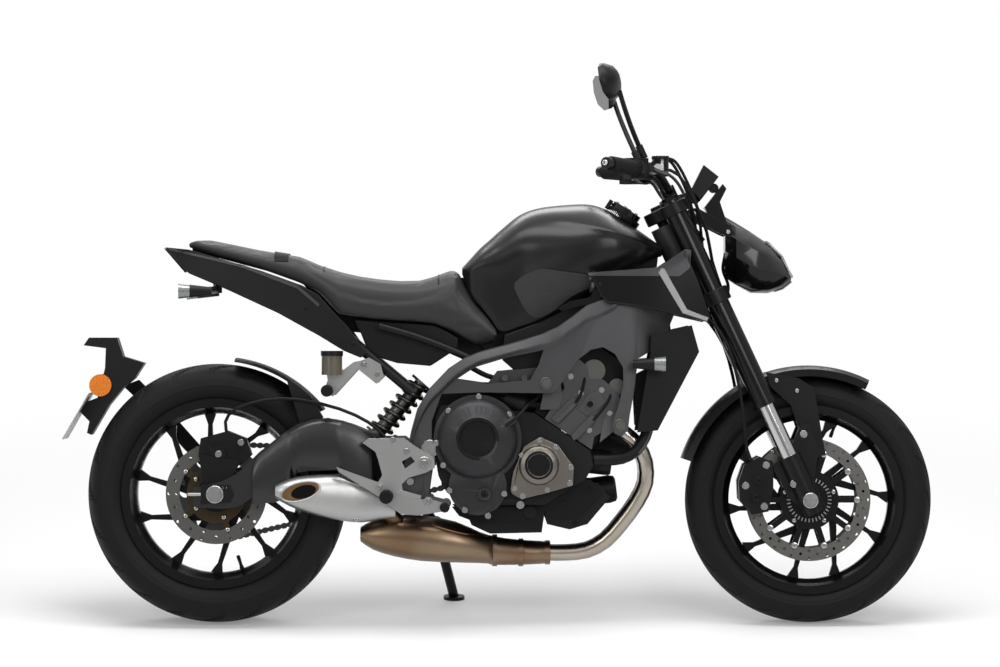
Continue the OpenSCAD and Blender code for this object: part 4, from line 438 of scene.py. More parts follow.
class Workshop:
    """Makes finished pieces out of meshes and hangs them on the frame."""

    def __init__(self, frame: dict, stance: Stance) -> None:
        """Keeps the frame, the stance and a store of materials.

        Args:
            stance: The stance of the parked bike.
        """
        self.frame = frame
        self.stance = stance
        self.back = stance.matrix.inverted()
        self.groups = ShaderGroups()
        self.materials: dict[str, bpy.types.Material] = {}
        self.trees: dict[str, BVHTree] = {}
        bodies = frame["record"]["behaviour"]["bodies"]
        self.body_of = {node: body for body, nodes in bodies.items() for node in nodes}
        self.slot_of = {s["node"]: s["material_slot"] for s in frame["record"]["subparts"]}

    def material(self, finish: Finish) -> bpy.types.Material:
        """Returns the finish's material, made on first use."""
        if finish.name not in self.materials:
            self.materials[finish.name] = finish.build(self.groups)
        return self.materials[finish.name]

    def copy(self, node: str) -> BMesh:
        """Copies a solid's mesh into the bike frame, welded and cleared of flat edges.

        Args:
            node: The solid's name.

        Returns:
            The copied mesh.
        """
        bm = bmesh.new()
        bm.from_mesh(self.frame["nodes"][node].data)
        bmesh.ops.transform(bm, matrix=self.back, verts=bm.verts)
        bmesh.ops.remove_doubles(bm, verts=bm.verts, dist=WELD)
        bmesh.ops.dissolve_limit(bm, angle_limit=FLAT_ANGLE, verts=bm.verts, edges=bm.edges)
        return bm

    def emit(self, bm: BMesh, name: str, finishes: Sequence[Finish], body: str, bevel: float = 0.0,
             sharp: float = 32.0) -> bpy.types.Object:
        """Turns a mesh of the bike frame into a piece that rides on a body.

        Args:
            bm: The mesh, which is used up.
            name: The piece's name.
            finishes: The finishes, in the order of the faces' material numbers.
            body: The body that carries the piece.
            bevel: Width of the rounded edges.
            sharp: Angle in degrees past which an edge stays sharp.

        Returns:
            The new piece.
        """
        bmesh.ops.transform(bm, matrix=self.stance.matrix, verts=bm.verts)
        limit = math.radians(sharp)
        for face in bm.faces:
            face.smooth = True
        for edge in bm.edges:
            edge.smooth = len(edge.link_faces) == 2 and edge.calc_face_angle(0.0) < limit
        mesh = bpy.data.meshes.new(name)
        bm.to_mesh(mesh)
        bm.free()
        piece = bpy.data.objects.new(name, mesh)
        bpy.context.scene.collection.objects.link(piece)
        for finish in finishes:
            mesh.materials.append(self.material(finish))
        if bevel > 0:
            rounding = piece.modifiers.new("rounded_edges", "BEVEL")
            rounding.width = bevel
            rounding.segments = 2
            rounding.limit_method = "ANGLE"
            rounding.angle_limit = limit
            rounding.harden_normals = True
        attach(piece, body)
        LOG.info("%s: %d faces on %s", name, len(mesh.polygons), body)
        return piece

    def dress(self, node: str, name: str, finishes: Sequence[Finish], pick: Pick | None = None,
              bevel: float = 0.0015,
              sharp: float = 32.0, cuts: Sequence[tuple[Vector, Vector]] = ()) -> bpy.types.Object:
        """Stands a rounded, finished copy in for a solid.

        Args:
            node: The solid's name.
            name: The piece's name.
            finishes: The finishes of the piece.
            pick: Chooses a finish from a face's middle and normal, in the bike frame.
            bevel: Width of the rounded edges.
            sharp: Angle in degrees past which an edge counts as an edge.
            cuts: Planes, as a point and a normal, that part the faces before a finish is chosen.

        Returns:
            The new piece.
        """
        bm = self.copy(node)
        for point, normal in cuts:
            bmesh.ops.bisect_plane(bm, geom=[*bm.verts, *bm.edges, *bm.faces], plane_co=point,
                                   plane_no=normal, dist=SNAP)
        if pick is not None:
            for face in bm.faces:
                face.material_index = pick(face.calc_center_median(), face.normal)
        piece = self.emit(bm, name, finishes, self.body_of[node], bevel, sharp)
        self.stand_in(piece, node)
        return piece

    def stand_in(self, piece: bpy.types.Object, node: str) -> None:
        """Lets a piece stand in for a solid by hiding the solid."""
        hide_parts(node)

    def side_hit(self, node: str, x: float, z: float, side: int) -> Vector | None:
        """Returns where a ray from a side of the bike meets a solid, or None."""
        return self.reach(node, (x, float(side), z), (0.0, -side, 0.0))

    def reach(self, node: str, start: Sequence[float], way: Sequence[float]) -> Vector | None:
        """Finds where a ray of the bike frame first meets a solid.

        Args:
            node: The solid's name.
            start: Where the ray starts.
            way: The way that it goes.

        Returns:
            The point on the solid, or None.
        """
        if node not in self.trees:
            bm = self.copy(node)
            bmesh.ops.triangulate(bm, faces=bm.faces)
            self.trees[node] = BVHTree.FromBMesh(bm)
            bm.free()
        return self.trees[node].ray_cast(Vector(start), Vector(way).normalized())[0]


def spline(points: Sequence[Sequence[float]], steps: int) -> list[Vector]:
    """Draws a smooth line through points.

    Args:
        points: The points that it passes.
        steps: Pieces between two points.

    Returns:
        The points of the line.
    """
    given = [Vector(p) for p in points]
    ends = [given[0] * 2 - given[1], *given, given[-1] * 2 - given[-2]]
    line = []
    for i in range(1, len(ends) - 2):
        a, b, c, d = ends[i - 1:i + 3]
        for k in range(steps):
            t = k / steps
            bend, twist = a * 2 - b * 5 + c * 4 - d, b * 3 - a - c * 3 + d
            line.append(0.5 * (b * 2 + (c - a) * t + bend * t ** 2 + twist * t ** 3))
    return [*line, given[-1]]


def circle(centre: Vector, radius: float, count: int, start: float = 0.0) -> list[tuple[float, float, float]]:
    """Returns X, Z and angle of points round a centre, as seen from the side."""
    turns = [start + TAU * k / count for k in range(count)]
    return [(centre.x + radius * math.cos(a), centre.z + radius * math.sin(a), a) for a in turns]


def ring_cuts(centre: Vector, radius: float, count: int = 24) -> list[tuple[Vector, Vector]]:
    """Returns planes that part a wheel's disc at a radius, as flats round a circle."""
    ways = [Vector((x, 0.0, z)) for x, z, _ in circle(Vector(), 1.0, count)]
    return [(centre + way * radius, way) for way in ways]


def within(c: Vector, disc: tuple[float, float, float]) -> bool:
    """Tells whether a point, seen from the side, lies in a disc of given X, Z and radius."""
    return math.hypot(c.x - disc[0], c.z - disc[1]) < disc[2]


def put(at: Sequence[float], axis: Sequence[float]) -> Matrix:
    """Returns the place of a shape drawn about Z, set at a point and turned to an axis."""
    return Matrix.Translation(Vector(at)) @ UP.rotation_difference(Vector(axis)).to_matrix().to_4x4()


def thicken(part: BMesh, way: float) -> None:
    """Gives a sheet a second side, moved along Y."""
    made = bmesh.ops.extrude_face_region(part, geom=list(part.faces), use_keep_orig=True)["geom"]
    bmesh.ops.translate(part, verts=[v for v in made if isinstance(v, BMVert)], vec=(0.0, way, 0.0))


def grid_step(place: float, count: int) -> int:
    """Returns the number of a grid's line, from its place between -1 and 1."""
    return round((place + 1) / 2 * (count - 1))


class Shapes:
    """Small shapes drawn into one mesh of the bike frame."""

    def __init__(self) -> None:
        """Starts with an empty mesh."""
        self.bm = bmesh.new()

    def add(self, part: BMesh, material: int = 0, matrix: Matrix = IDENTITY) -> None:
        """Welds a small mesh, puts it in place and adds it to the whole.

        Args:
            part: The small mesh, which is used up.
            material: The material number of its faces.
            matrix: Its place.
        """
        bmesh.ops.remove_doubles(part, verts=part.verts, dist=SNAP)
        bmesh.ops.recalc_face_normals(part, faces=part.faces)
        bmesh.ops.transform(part, matrix=matrix, verts=part.verts)
        for face in part.faces:
            face.material_index = material
        mesh = bpy.data.meshes.new("part")
        part.to_mesh(mesh)
        part.free()
        self.bm.from_mesh(mesh)
        bpy.data.meshes.remove(mesh)

    def tube(self, path: Sequence[Sequence[float]], radius: float, sides: int = 10, material: int = 0,
             steps: int = 6) -> None:
        """Sweeps a round cable, hose or rod along a smooth line.

        Args:
            path: The points that the line passes.
            radius: The radius.
            sides: Faces round the tube.
            material: The material number.
            steps: Pieces between two points.
        """
        line = spline(path, steps)
        tangent = (line[1] - line[0]).normalized()
        normal = tangent.orthogonal().normalized()
        frames = []
        for i, point in enumerate(line):
            ahead = (line[min(i + 1, len(line) - 1)] - line[max(i - 1, 0)]).normalized()
            normal = tangent.rotation_difference(ahead) @ normal
            normal = (normal - ahead * normal.dot(ahead)).normalized()
            tangent = ahead
            turn = Matrix((normal, tangent.cross(normal), tangent)).transposed().to_4x4()
            frames.append(Matrix.Translation(point) @ turn)
        part = bmesh.new()
        bmesh.ops.create_circle(part, cap_ends=True, radius=radius, segments=sides, matrix=frames[0])
        edges = list(part.edges)
        for here, there in zip(frames, frames[1:]):
            made = bmesh.ops.extrude_edge_only(part, edges=edges)["geom"]
            edges = [g for g in made if isinstance(g, BMEdge) and g.is_boundary]
            bmesh.ops.transform(part, matrix=there @ here.inverted(),
                                verts=[g for g in made if isinstance(g, BMVert)])
        bmesh.ops.edgeloop_fill(part, edges=edges)
        self.add(part, material)

    def plate(self, outline: Sequence[tuple[float, float]], low: float, high: float,
              material: int = 0) -> None:
        """Extrudes a side outline along Y.

        Args:
            outline: X and Z of its corners.
            low: Y of one face.
            high: Y of the other face.
            material: The material number.
        """
        part = bmesh.new()
        part.faces.new([part.verts.new((x, low, z)) for x, z in outline])
        thicken(part, high - low)
        self.add(part, material)

    def panel(self, shop: Workshop, node: str, outline: Sequence[tuple[float, float]], side: int,
              lift: float = 0.0015,
              thick: float = 0.003, material: int = 0, flat: bool = False, cell: float = 0.02) -> None:
        """Lays a thin raised panel on a solid's side.

        Args:
            shop: The workshop.
            node: The solid that carries the panel.
            outline: X and Z of its corners.
            side: The sign of Y on that side.
            lift: How far it stands proud.
            thick: Its thickness.
            material: The material number.
            flat: Whether it stays flat, level with the middle of the solid under it.
            cell: Longest edge of its faces.
        """
        part = bmesh.new()
        part.faces.new([part.verts.new((x, 0.0, z)) for x, z in outline])
        for _ in range(5):
            bmesh.ops.triangulate(part, faces=part.faces)
            long = [e for e in part.edges if e.calc_length() > cell]
            if long:
                bmesh.ops.subdivide_edges(part, edges=long, cuts=1)
        bmesh.ops.triangulate(part, faces=part.faces)
        hits = {v: shop.side_hit(node, v.co.x, v.co.z, side) for v in part.verts}
        found = [hit.y for hit in hits.values() if hit is not None]
        if not found:
            LOG.warning("panel off %s", node)
            part.free()
            return
        middle = sorted(found)[len(found) // 2]
        for vert, hit in hits.items():
            near = middle if flat or hit is None or abs(hit.y - middle) > PANEL_JUMP else hit.y
            vert.co.y = near + side * lift
        thicken(part, -side * thick)
        self.add(part, material)

    def spin(self, profile: Sequence[tuple[float, float]], at: Sequence[float], axis: Sequence[float],
             steps: int = 20,
             material: int = 0) -> None:
        """Turns a profile about an axis.

        Args:
            profile: Radius and height of its points, along the axis.
            at: A point of the axis, at height 0.
            axis: The axis.
            steps: Pieces of the turn.
            material: The material number.
        """
        part = bmesh.new()
        verts = [part.verts.new((r, 0.0, h)) for r, h in profile]
        edges = [part.edges.new(pair) for pair in zip(verts, verts[1:])]
        bmesh.ops.spin(part, geom=[*verts, *edges], cent=Vector(), axis=UP, angle=TAU, steps=steps,
                       use_merge=True)
        self.add(part, material, put(at, axis))

    def bolt(self, at: Sequence[float], axis: Sequence[float], radius: float, head: Head = Head.SOCKET,
             material: int = 0) -> None:
        """Puts a bolt head on a face.

        Args:
            at: The middle of its seat.
            axis: The way that it faces.
            radius: Radius of the head.
            head: Kind of head.
            material: The material number.
        """
        r = radius
        if head is Head.SOCKET:
            profile = [(0, 0.3), (0.5, 0.3), (0.54, 0.95), (0.86, 0.95), (1.0, 0.8), (1.0, -0.3)]
        elif head is Head.BUTTON:
            profile = [(0, 0.2), (0.4, 0.2), (0.44, 0.6), (0.75, 0.5), (1.0, 0.15), (1.0, -0.3)]
        else:
            profile = [(0, 0.26), (1.3, 0.26), (1.4, 0.16), (1.4, -0.3)]
        self.spin([(a * r, h * r) for a, h in profile], at, axis, 16, material)
        if head is Head.HEX:
            out = Vector(axis).normalized()
            part = bmesh.new()
            bmesh.ops.create_cone(part, cap_ends=True, segments=6, radius1=r, radius2=r * 0.97, depth=r * 0.9)
            self.add(part, material, put(Vector(at) + out * r * 0.6, out))

    def block(self, at: Sequence[float], size: Sequence[float], tilt: float = 0.0, turn: float = 0.0,
              material: int = 0) -> None:
        """Adds a box.

        Args:
            at: Its middle.
            size: Its lengths along X, Y and Z.
            tilt: Turn about Y in degrees.
            turn: Turn about Z in degrees.
            material: The material number.
        """
        matrix = (Matrix.Translation(Vector(at)) @ Matrix.Rotation(math.radians(turn), 4, "Z")
                  @ Matrix.Rotation(math.radians(tilt), 4, "Y") @ Matrix.Diagonal((*size, 1.0)))
        part = bmesh.new()
        bmesh.ops.create_cube(part, size=1.0)
        self.add(part, material, matrix)

    def bolts(self, shop: Workshop, node: str, radius: float, head: Head, material: int, sides: Sequence[int],
              spots: Sequence[tuple[float, float]]) -> None:
        """Puts bolts on a solid's sides, where it lies under the spots.

        Args:
            shop: The workshop.
            node: The solid that carries them.
            radius: Radius of the heads.
            head: Kind of head.
            material: The material number.
            sides: The signs of Y of the sides.
            spots: X and Z of each bolt.
        """
        for side in sides:
            for x, z in spots:
                at = shop.side_hit(node, x, z, side)
                if at is not None:
                    self.bolt(at, (0.0, side, 0.0), radius, head, material)

    def drape(self, along: int, across: int, cast: Callable[[float, float], Vector | None],
              lift: Vector) -> None:
        """Lays a grid on what rays meet, without the points that miss.

        Args:
            along: Faces one way.
            across: Faces the other way.
            cast: Finds the point for a place of the grid, from -1 to 1 each way.
            lift: How far the grid stands off.
        """
        missed = []
        for vert in bmesh.ops.create_grid(self.bm, x_segments=along, y_segments=across, size=1.0)["verts"]:
            hit = cast(vert.co.x, vert.co.y)
            if hit is None:
                missed.append(vert)
            else:
                vert.co = hit + lift
        bmesh.ops.delete(self.bm, geom=missed, context="VERTS")

    def stiffen(self, thickness: float) -> None:
        """Gives the sheets of the mesh a thickness."""
        bmesh.ops.recalc_face_normals(self.bm, faces=self.bm.faces)
        bmesh.ops.solidify(self.bm, geom=list(self.bm.faces), thickness=thickness)


@dataclass(frozen=True)
class Tread:
    """One row of slanted grooves on each side of a tyre."""

    start: float
    stop: float
    offset: float
    slant: float
    half_width: float
    depth: float


@dataclass(frozen=True)
class Tyre:
    """A road tyre with a cut tread."""

    node: str
    centre: Vector
    height: float
    half_width: float
    bead: float
    pitches: int
    treads: tuple[Tread, ...]
    rim_r: float = 0.216
    steps: int = 42
    outer: tuple[tuple[float, float], ...] = ((0.93, 0.28), (0.99, 0.42), (1.0, 0.52), (0.97, 0.64),
                                              (0.89, 0.76),
                                              (0.74, 0.865), (0.53, 0.94), (0.28, 0.985), (0.0, 1.0))
    inner: tuple[tuple[float, float], ...] = ((0.82, 0.36), (0.86, 0.5), (0.75, 0.71), (0.3, 0.86),
                                              (0.0, 0.88))

    def _profile(self) -> list[tuple[float, float, float]]:
        """Returns Y, radius and tread share of each point from one bead to the other."""
        half = spline([(w * self.half_width, h * self.height, 0.0) for w, h in self.outer], 4)
        side = [Vector((self.bead, 0.001, 0.0)), Vector((self.bead, 0.0145, 0.0)), *half]
        whole = [Vector((-p.x, p.y, 0.0)) for p in side] + side[-2::-1]
        rows = []
        for p in whole:
            high = p.y / self.height
            ridge = 0.0009 if 0.34 < high < 0.4 or 0.47 < high < 0.5 else 0.0
            y = p.x + math.copysign(ridge, p.x)
            rows.append((y, self.rim_r + p.y, abs(p.x) / self.half_width if high > 0.6 else 2.0))
        return rows

    def _cut(self, y: float, share: float, turn: float, radius: float) -> float:
        """Returns the depth of the groove at a place of the tread."""
        deep = 0.0
        pitch = TAU / self.pitches
        for tread in self.treads:
            if not tread.start < share < tread.stop:
                continue
            flip = 0.5 if y > 0 else 0.0
            along = (share - tread.start) / (tread.stop - tread.start)
            middle = (tread.offset + flip + tread.slant * along) * pitch
            off = (turn - middle + pitch / 2) % pitch - pitch / 2
            wide = tread.half_width * min(1.0, 5 * along + 0.35, 5 * (1 - along) + 0.35)
            deep = max(deep, tread.depth * max(0.0, min(1.0, (wide - abs(off) * radius) / 0.0012 + 1.0)))
        return deep

    def build(self, shop: Workshop, name: str) -> bpy.types.Object:
        """Makes the tyre and hangs it on its wheel.

        Args:
            shop: The workshop.
            name: The piece's name.

        Returns:
            The tyre.
        """
        bm = bmesh.new()
        tread = bm.verts.layers.float.new("tread")
        inside = [(w * self.half_width, self.rim_r + h * self.height) for w, h in self.inner]
        rows = [*self._profile(), *[(y, r, 2.0) for y, r in [*inside, *[(-y, r) for y, r in inside[-2::-1]]]]]
        verts = []
        for y, r, share in rows:
            vert = bm.verts.new((self.centre.x + r, y, self.centre.z))
            vert[tread] = share
            verts.append(vert)
        edges = [bm.edges.new(pair) for pair in zip(verts, [*verts[1:], verts[0]])]
        pitch = TAU / self.pitches
        bmesh.ops.spin(bm, geom=[*verts, *edges], cent=self.centre, axis=(0.0, 1.0, 0.0), angle=pitch,
                       steps=self.steps)
        for vert in bm.verts:
            if vert[tread] < 1.0:
                x, z = vert.co.x - self.centre.x, vert.co.z - self.centre.z
                r = math.hypot(x, z)
                keep = 1.0 - self._cut(vert.co.y, vert[tread], math.atan2(z, x), r) / r
                vert.co = (self.centre.x + x * keep, vert.co.y, self.centre.z + z * keep)
        bmesh.ops.spin(bm, geom=[*bm.verts, *bm.edges, *bm.faces], cent=self.centre, axis=(0.0, 1.0, 0.0),
                       angle=TAU - pitch,
                       steps=self.pitches - 1, use_duplicate=True)
        bmesh.ops.remove_doubles(bm, verts=bm.verts, dist=1e-5)
        bmesh.ops.recalc_face_normals(bm, faces=bm.faces)
        piece = shop.emit(bm, name, [TYRE_RUBBER], shop.body_of[self.node], sharp=40.0)
        shop.stand_in(piece, self.node)
        return piece


@dataclass
class Wheels:
    """Rims, tyres, discs and what turns with them."""

    shop: Workshop

    def build(self) -> None:
        """Builds both wheels."""
        shop = self.shop
        shop.dress("front_wheel", "front_rim", [WHEEL_BLACK], bevel=0.003)
        shop.dress("rear_wheel", "rear_rim", [WHEEL_BLACK], bevel=0.003)
        Tyre("front_tyre", FRONT_AXLE, 0.084, 0.060, 0.0442, 22, (
            Tread(0.1, 0.78, 0.0, 1.3, 0.0032, 0.0045), Tread(0.4, 0.88, 0.55, 0.8, 0.0026,
                                                              0.004))).build(shop, "front_tyre_skin")
        Tyre("rear_tyre", REAR_AXLE, 0.099, 0.090, 0.0697, 20, (
            Tread(0.08, 0.72, 0.0, 1.2, 0.0036, 0.005), Tread(0.42, 0.9, 0.55, 0.7, 0.003,
                                                              0.0045))).build(shop, "rear_tyre_skin")
        shop.dress("front_discs", "front_disc_pair", [DISC_STEEL, WHEEL_BLACK], lambda c,
                   n: int(within(c, (FRONT_AXLE.x, FRONT_AXLE.z, FRONT_RING_R + RING_SLACK))),
                   bevel=0.0, cuts=ring_cuts(FRONT_AXLE, FRONT_RING_R))
        shop.dress("rear_disc", "rear_disc_plate", [DISC_STEEL, CARRIER_GOLD], lambda c,
                   n: int(within(c, (REAR_AXLE.x, REAR_AXLE.z, REAR_RING_R + RING_SLACK))),
                   bevel=0.0, cuts=ring_cuts(REAR_AXLE, REAR_RING_R))
        shop.dress("rear_sprocket", "sprocket", [DARK_STEEL], bevel=0.0006)
        shop.dress("front_axle", "front_axle_bar", [ZINC])
        shop.dress("rear_axle", "rear_axle_bar", [ZINC])
        self._front_fittings()
        self._rear_fittings()

    @staticmethod
    def _ring(shapes: Shapes, centre: Vector, radius: float, count: int, y: float, out: int, size: float,
              head: Head,
              start: float = 0.0) -> None:
        """Puts bolts round a wheel's middle.

        Args:
            shapes: The mesh that takes them.
            centre: The middle of the wheel.
            radius: Radius of the ring.
            count: Number of bolts.
            y: Y of their seats.
            out: The sign of Y that they face.
            size: Radius of the heads.
            head: Kind of head.
            start: Angle of the first bolt in degrees.
        """
        for x, z, _ in circle(centre, radius, count, math.radians(start)):
            shapes.bolt((x, y, z), (0.0, out, 0.0), size, head)

    @staticmethod
    def _valve(shapes: Shapes, centre: Vector, turn: float) -> None:
        """Adds a tyre valve with its cap."""
        a = math.radians(turn)
        out = Vector((math.cos(a), 0.0, math.sin(a)))
        foot = centre + out * 0.196
        shapes.spin([(0.0, 0.0), (0.006, 0.0), (0.005, 0.008), (0.004, 0.01), (0.004, 0.022), (0.0046, 0.022),
                     (0.0046, 0.034),
                     (0.003, 0.036), (0.0, 0.036)], foot, -out, 12, 1)

    def _front_fittings(self) -> None:
        """Adds disc bolts, floating buttons, the speed ring and the valve."""
        shapes = Shapes()
        for side in SIDES:
            self._ring(shapes, FRONT_AXLE, 0.062, 5, side * 0.0670, side, 0.0062, Head.BUTTON, 18.0)
            for x, z, _ in circle(FRONT_AXLE, 0.1165, 10):
                shapes.spin([(0.0, 0.0), (0.0075, 0.0), (0.0075, 0.0085), (0.0055, 0.0092), (0.003, 0.0092),
                             (0.003, 0.006),
                             (0.0, 0.006)], (x, side * 0.060, z), (0.0, side, 0.0), 16)
        for x, z, a in circle(FRONT_AXLE, 0.05, 36):
            shapes.block((x, -0.0688, z), (0.009, 0.0016, 0.003), -math.degrees(a))
        self._valve(shapes, FRONT_AXLE, 70.0)
        self.shop.emit(shapes.bm, "front_wheel_fittings", [ZINC, SOFT_RUBBER], "front_wheel")

    def _rear_fittings(self) -> None:
        """Adds disc bolts, floating buttons, sprocket nuts and the valve."""
        shapes = Shapes()
        self._ring(shapes, REAR_AXLE, 0.06, 5, -0.0772, -1, 0.0065, Head.BUTTON)
        self._ring(shapes, REAR_AXLE, 0.0915, 5, -0.0772, -1, 0.0065, Head.BUTTON)
        self._ring(shapes, REAR_AXLE, 0.062, 6, 0.1085, 1, 0.008, Head.HEX, 30.0)
        self._valve(shapes, REAR_AXLE, -72.0)
        self.shop.emit(shapes.bm, "rear_wheel_fittings", [ZINC, SOFT_RUBBER], "rear_wheel")


@dataclass
class Chassis:
    """Frame, arm, exhaust, engine and foot rests."""

    shop: Workshop

    def build(self) -> None:
        """Builds the rolling frame and engine."""
        shop = self.shop
        dress = shop.dress
        dress("main_frame", "frame_spars", [CAST_GREY], bevel=0.009)
        dress("subframe", "seat_rails", [SATIN_BLACK], bevel=0.0)
        dress("swingarm", "swing_arm", [ARM_BLACK], bevel=0.006)
        dress("rear_shock", "shock_body", [DARK_STEEL], bevel=0.0)
        dress("crankcase", "engine_case", [ENGINE_BLACK], bevel=0.005)
        dress("cylinder_head", "cylinder_block", [HEAD_GREY, DARK_STEEL, ENGINE_BLACK], self._head_finish,
              bevel=0.003)
        dress("clutch_cover", "clutch_case", [COVER_GREY, SATIN_BLACK],
              lambda c, n: int(within(c, CLUTCH_DISC) and c.y < -0.15), bevel=0.003)
        cap = shop.side_hit("pickup_cover", PICKUP_CAP[0], PICKUP_CAP[1], -1)
        dress("pickup_cover", "pickup_case", [GUNMETAL, SATIN_BLACK],
              lambda c, n: int(within(c, PICKUP_CAP) and abs(c.y - cap.y) < 0.004), bevel=0.003)
        dress("left_covers", "generator_case", [COVER_GREY], bevel=0.004)
        dress("header_pipes", "headers", [PIPE_STEEL], bevel=0.0, sharp=50.0)
        dress("exhaust_chamber", "chamber", [HEAT_STEEL], bevel=0.0, sharp=50.0)
        dress("muffler", "silencer", [SATIN_ALLOY], bevel=0.0015, sharp=50.0)
        dress("radiator", "radiator_set", [MATTE_PLASTIC, DARK_STEEL], lambda c,
              n: int(abs(c.y) < 0.149 and n.x > 0.5), bevel=0.001)
        dress("foot_rests", "rest_brackets", [CAST_ALLOY, SATIN_BLACK, RESERVOIR], self._rest_finish,
              bevel=0.003)
        dress("rear_caliper", "rear_caliper_body", [SATIN_BLACK], bevel=0.003)
        dress("chain", "chain_loop", [DARK_STEEL], bevel=0.0007)
        dress("side_stand", "stand_leg", [SATIN_BLACK], bevel=0.002)
        self._bolts()
        self._rubbers()
        self._adjusters()
        self._plumbing()
        self._outlet()
        self._reliefs()
        self._trays()
        self._folds()

    def _folds(self) -> None:
        """Folds a lit upper face onto each spar and crowns both sides of the rear arm."""
        spars, arms = Shapes(), Shapes()
        for side in SIDES:
            self._skin(spars, "main_frame", side, (0.475, 0.975), (0.86, 0.1), 15, 1,
                       ((0.0, 0.0003), (0.62, 0.0085), (0.74, 0.0085), (1.0, 0.0003)))
            self._skin(arms, "swingarm", side, (0.08, 0.395), (0.6, 0.06), 60, 14,
                       ((0.0, 0.0003), (0.08, 0.006), (0.2, 0.0098), (0.36, 0.0118), (0.52, 0.0122),
                        (0.7, 0.011), (0.88, 0.0068), (1.0, 0.0003)))
        self.shop.emit(spars.bm, "spar_creases", [CAST_GREY], "chassis", sharp=20.0)
        self.shop.emit(arms.bm, "arm_crowns", [ARM_BLACK], "chassis", sharp=60.0)

    def _skin(self, shapes: Shapes, node: str, side: int, span: tuple[float, float],
              probe: tuple[float, float], depth: int,
              passes: int, rows: Sequence[tuple[float, float]]) -> None:
        """Lays a folded skin along a beam's side.

        Args:
            shapes: The mesh that takes it.
            node: The solid that carries it.
            side: The sign of Y on that side.
            span: First and last X.
            probe: The height that the rays start from and the least reach of a hit.
            depth: How many 3 mm steps down from the beam's top it covers at most.
            passes: How often its edges are smoothed along the beam.
            rows: Share of the height and stand-off of each line along it.
        """
        lines = []
        for k in range(STATIONS):
            x = span[0] + (span[1] - span[0]) * k / (STATIONS - 1)
            run = []
            for i in range(PROBES):
                hit = self.shop.side_hit(node, x, probe[0] - PROBE_STEP * i, side)
                if hit is not None and abs(hit.y) > probe[1]:
                    run.append(hit)
                elif run:
                    break
            if len(run) > LEAST_RUN:
                run = run[:depth]
                lines.append(Vector((x, sorted(abs(hit.y) for hit in run)[len(run) // 2], run[0].z - 0.001,
                                     run[-1].z + 0.001)))
        raw = lines
        for _ in range(passes):
            lines = [(lines[max(k - 1, 0)] + line * 2 + lines[min(k + 1, len(lines) - 1)]) / 4 for k,
                     line in enumerate(lines)]
        lines = [Vector((a.x, min(a.y, b.y + 0.003), min(a.z, b.z), max(a.w, b.w))) for a,
                 b in zip(lines, raw)]
        part = bmesh.new()
        bmesh.ops.create_grid(part, x_segments=len(lines) - 1, y_segments=len(rows) - 1, size=1.0)
        for vert in part.verts:
            x, y, top, low = lines[grid_step(vert.co.x, len(lines))]
            share, out = rows[grid_step(vert.co.y, len(rows))]
            vert.co = (x, side * (y + out), top + (low - top) * share)
        thicken(part, -side * 0.004)
        shapes.add(part)

    def _outlet(self) -> None:
        """Lines the silencer's outlet, rolls its lip, lays soot and painted shade of the deep bore on its floor
        and draws the chamber's weld seam.
        """
        shop, shapes = self.shop, Shapes()
        tilt, x0, z0 = math.radians(-15.0), 0.208, 0.323

        def oval(long: float, short: float) -> list[tuple[float, float]]:
            """Returns X and Z of an oval round the outlet's middle."""
            turns = [TAU * k / 32 for k in range(32)]
            return [(x0 + long * math.cos(a) * math.cos(tilt) + short * math.sin(a) * math.sin(tilt),
                     z0 - long * math.cos(a) * math.sin(tilt) + short * math.sin(a) * math.cos(tilt))
                     for a in turns]

        lip = [shop.side_hit("muffler", x, z, -1) for x, z in oval(0.0485, 0.0222)]
        deep = shop.side_hit("muffler", x0, z0, -1).y
        shapes.tube([*lip, lip[0]], 0.0022, 10, 0, 2)
        part = bmesh.new()
        loops = []
        for long, short, level in ((0.0478, 0.0216, None), (0.0462, 0.0202, deep - 0.0014)):
            ring = [part.verts.new((x, p.y - 0.0006 if level is None else level, z)) for (x, z),
                    p in zip(oval(long, short), lip)]
            loops.append([part.edges.new((ring[k - 1], ring[k])) for k in range(32)])
        bmesh.ops.bridge_loops(part, edges=[*loops[0], *loops[1]])
        bmesh.ops.contextual_create(part, geom=loops[1])
        shapes.add(part, 1)
        # A dark oval on the shallow floor: soot, and painted shade for the deep bore behind it.
        part = bmesh.new()
        part.faces.new([part.verts.new((x + 0.007, deep - 0.0022, z - 0.001)) for x,
                        z in oval(0.031, 0.0155)])
        shapes.add(part, 2)
        path = ((0.418, 0.292), (0.47, 0.262), (0.53, 0.238), (0.6, 0.219), (0.66, 0.211))
        line = [shop.side_hit("exhaust_chamber", x, z, -1) for x, z in path]
        shapes.tube([hit for hit in line if hit is not None], 0.0028, 8, 1, 6)
        shop.emit(shapes.bm, "outlet_liner", [SATIN_ALLOY, OUTLET_BRONZE, SOOT_AND_PAINTED_SHADE], "chassis", sharp=50.0)

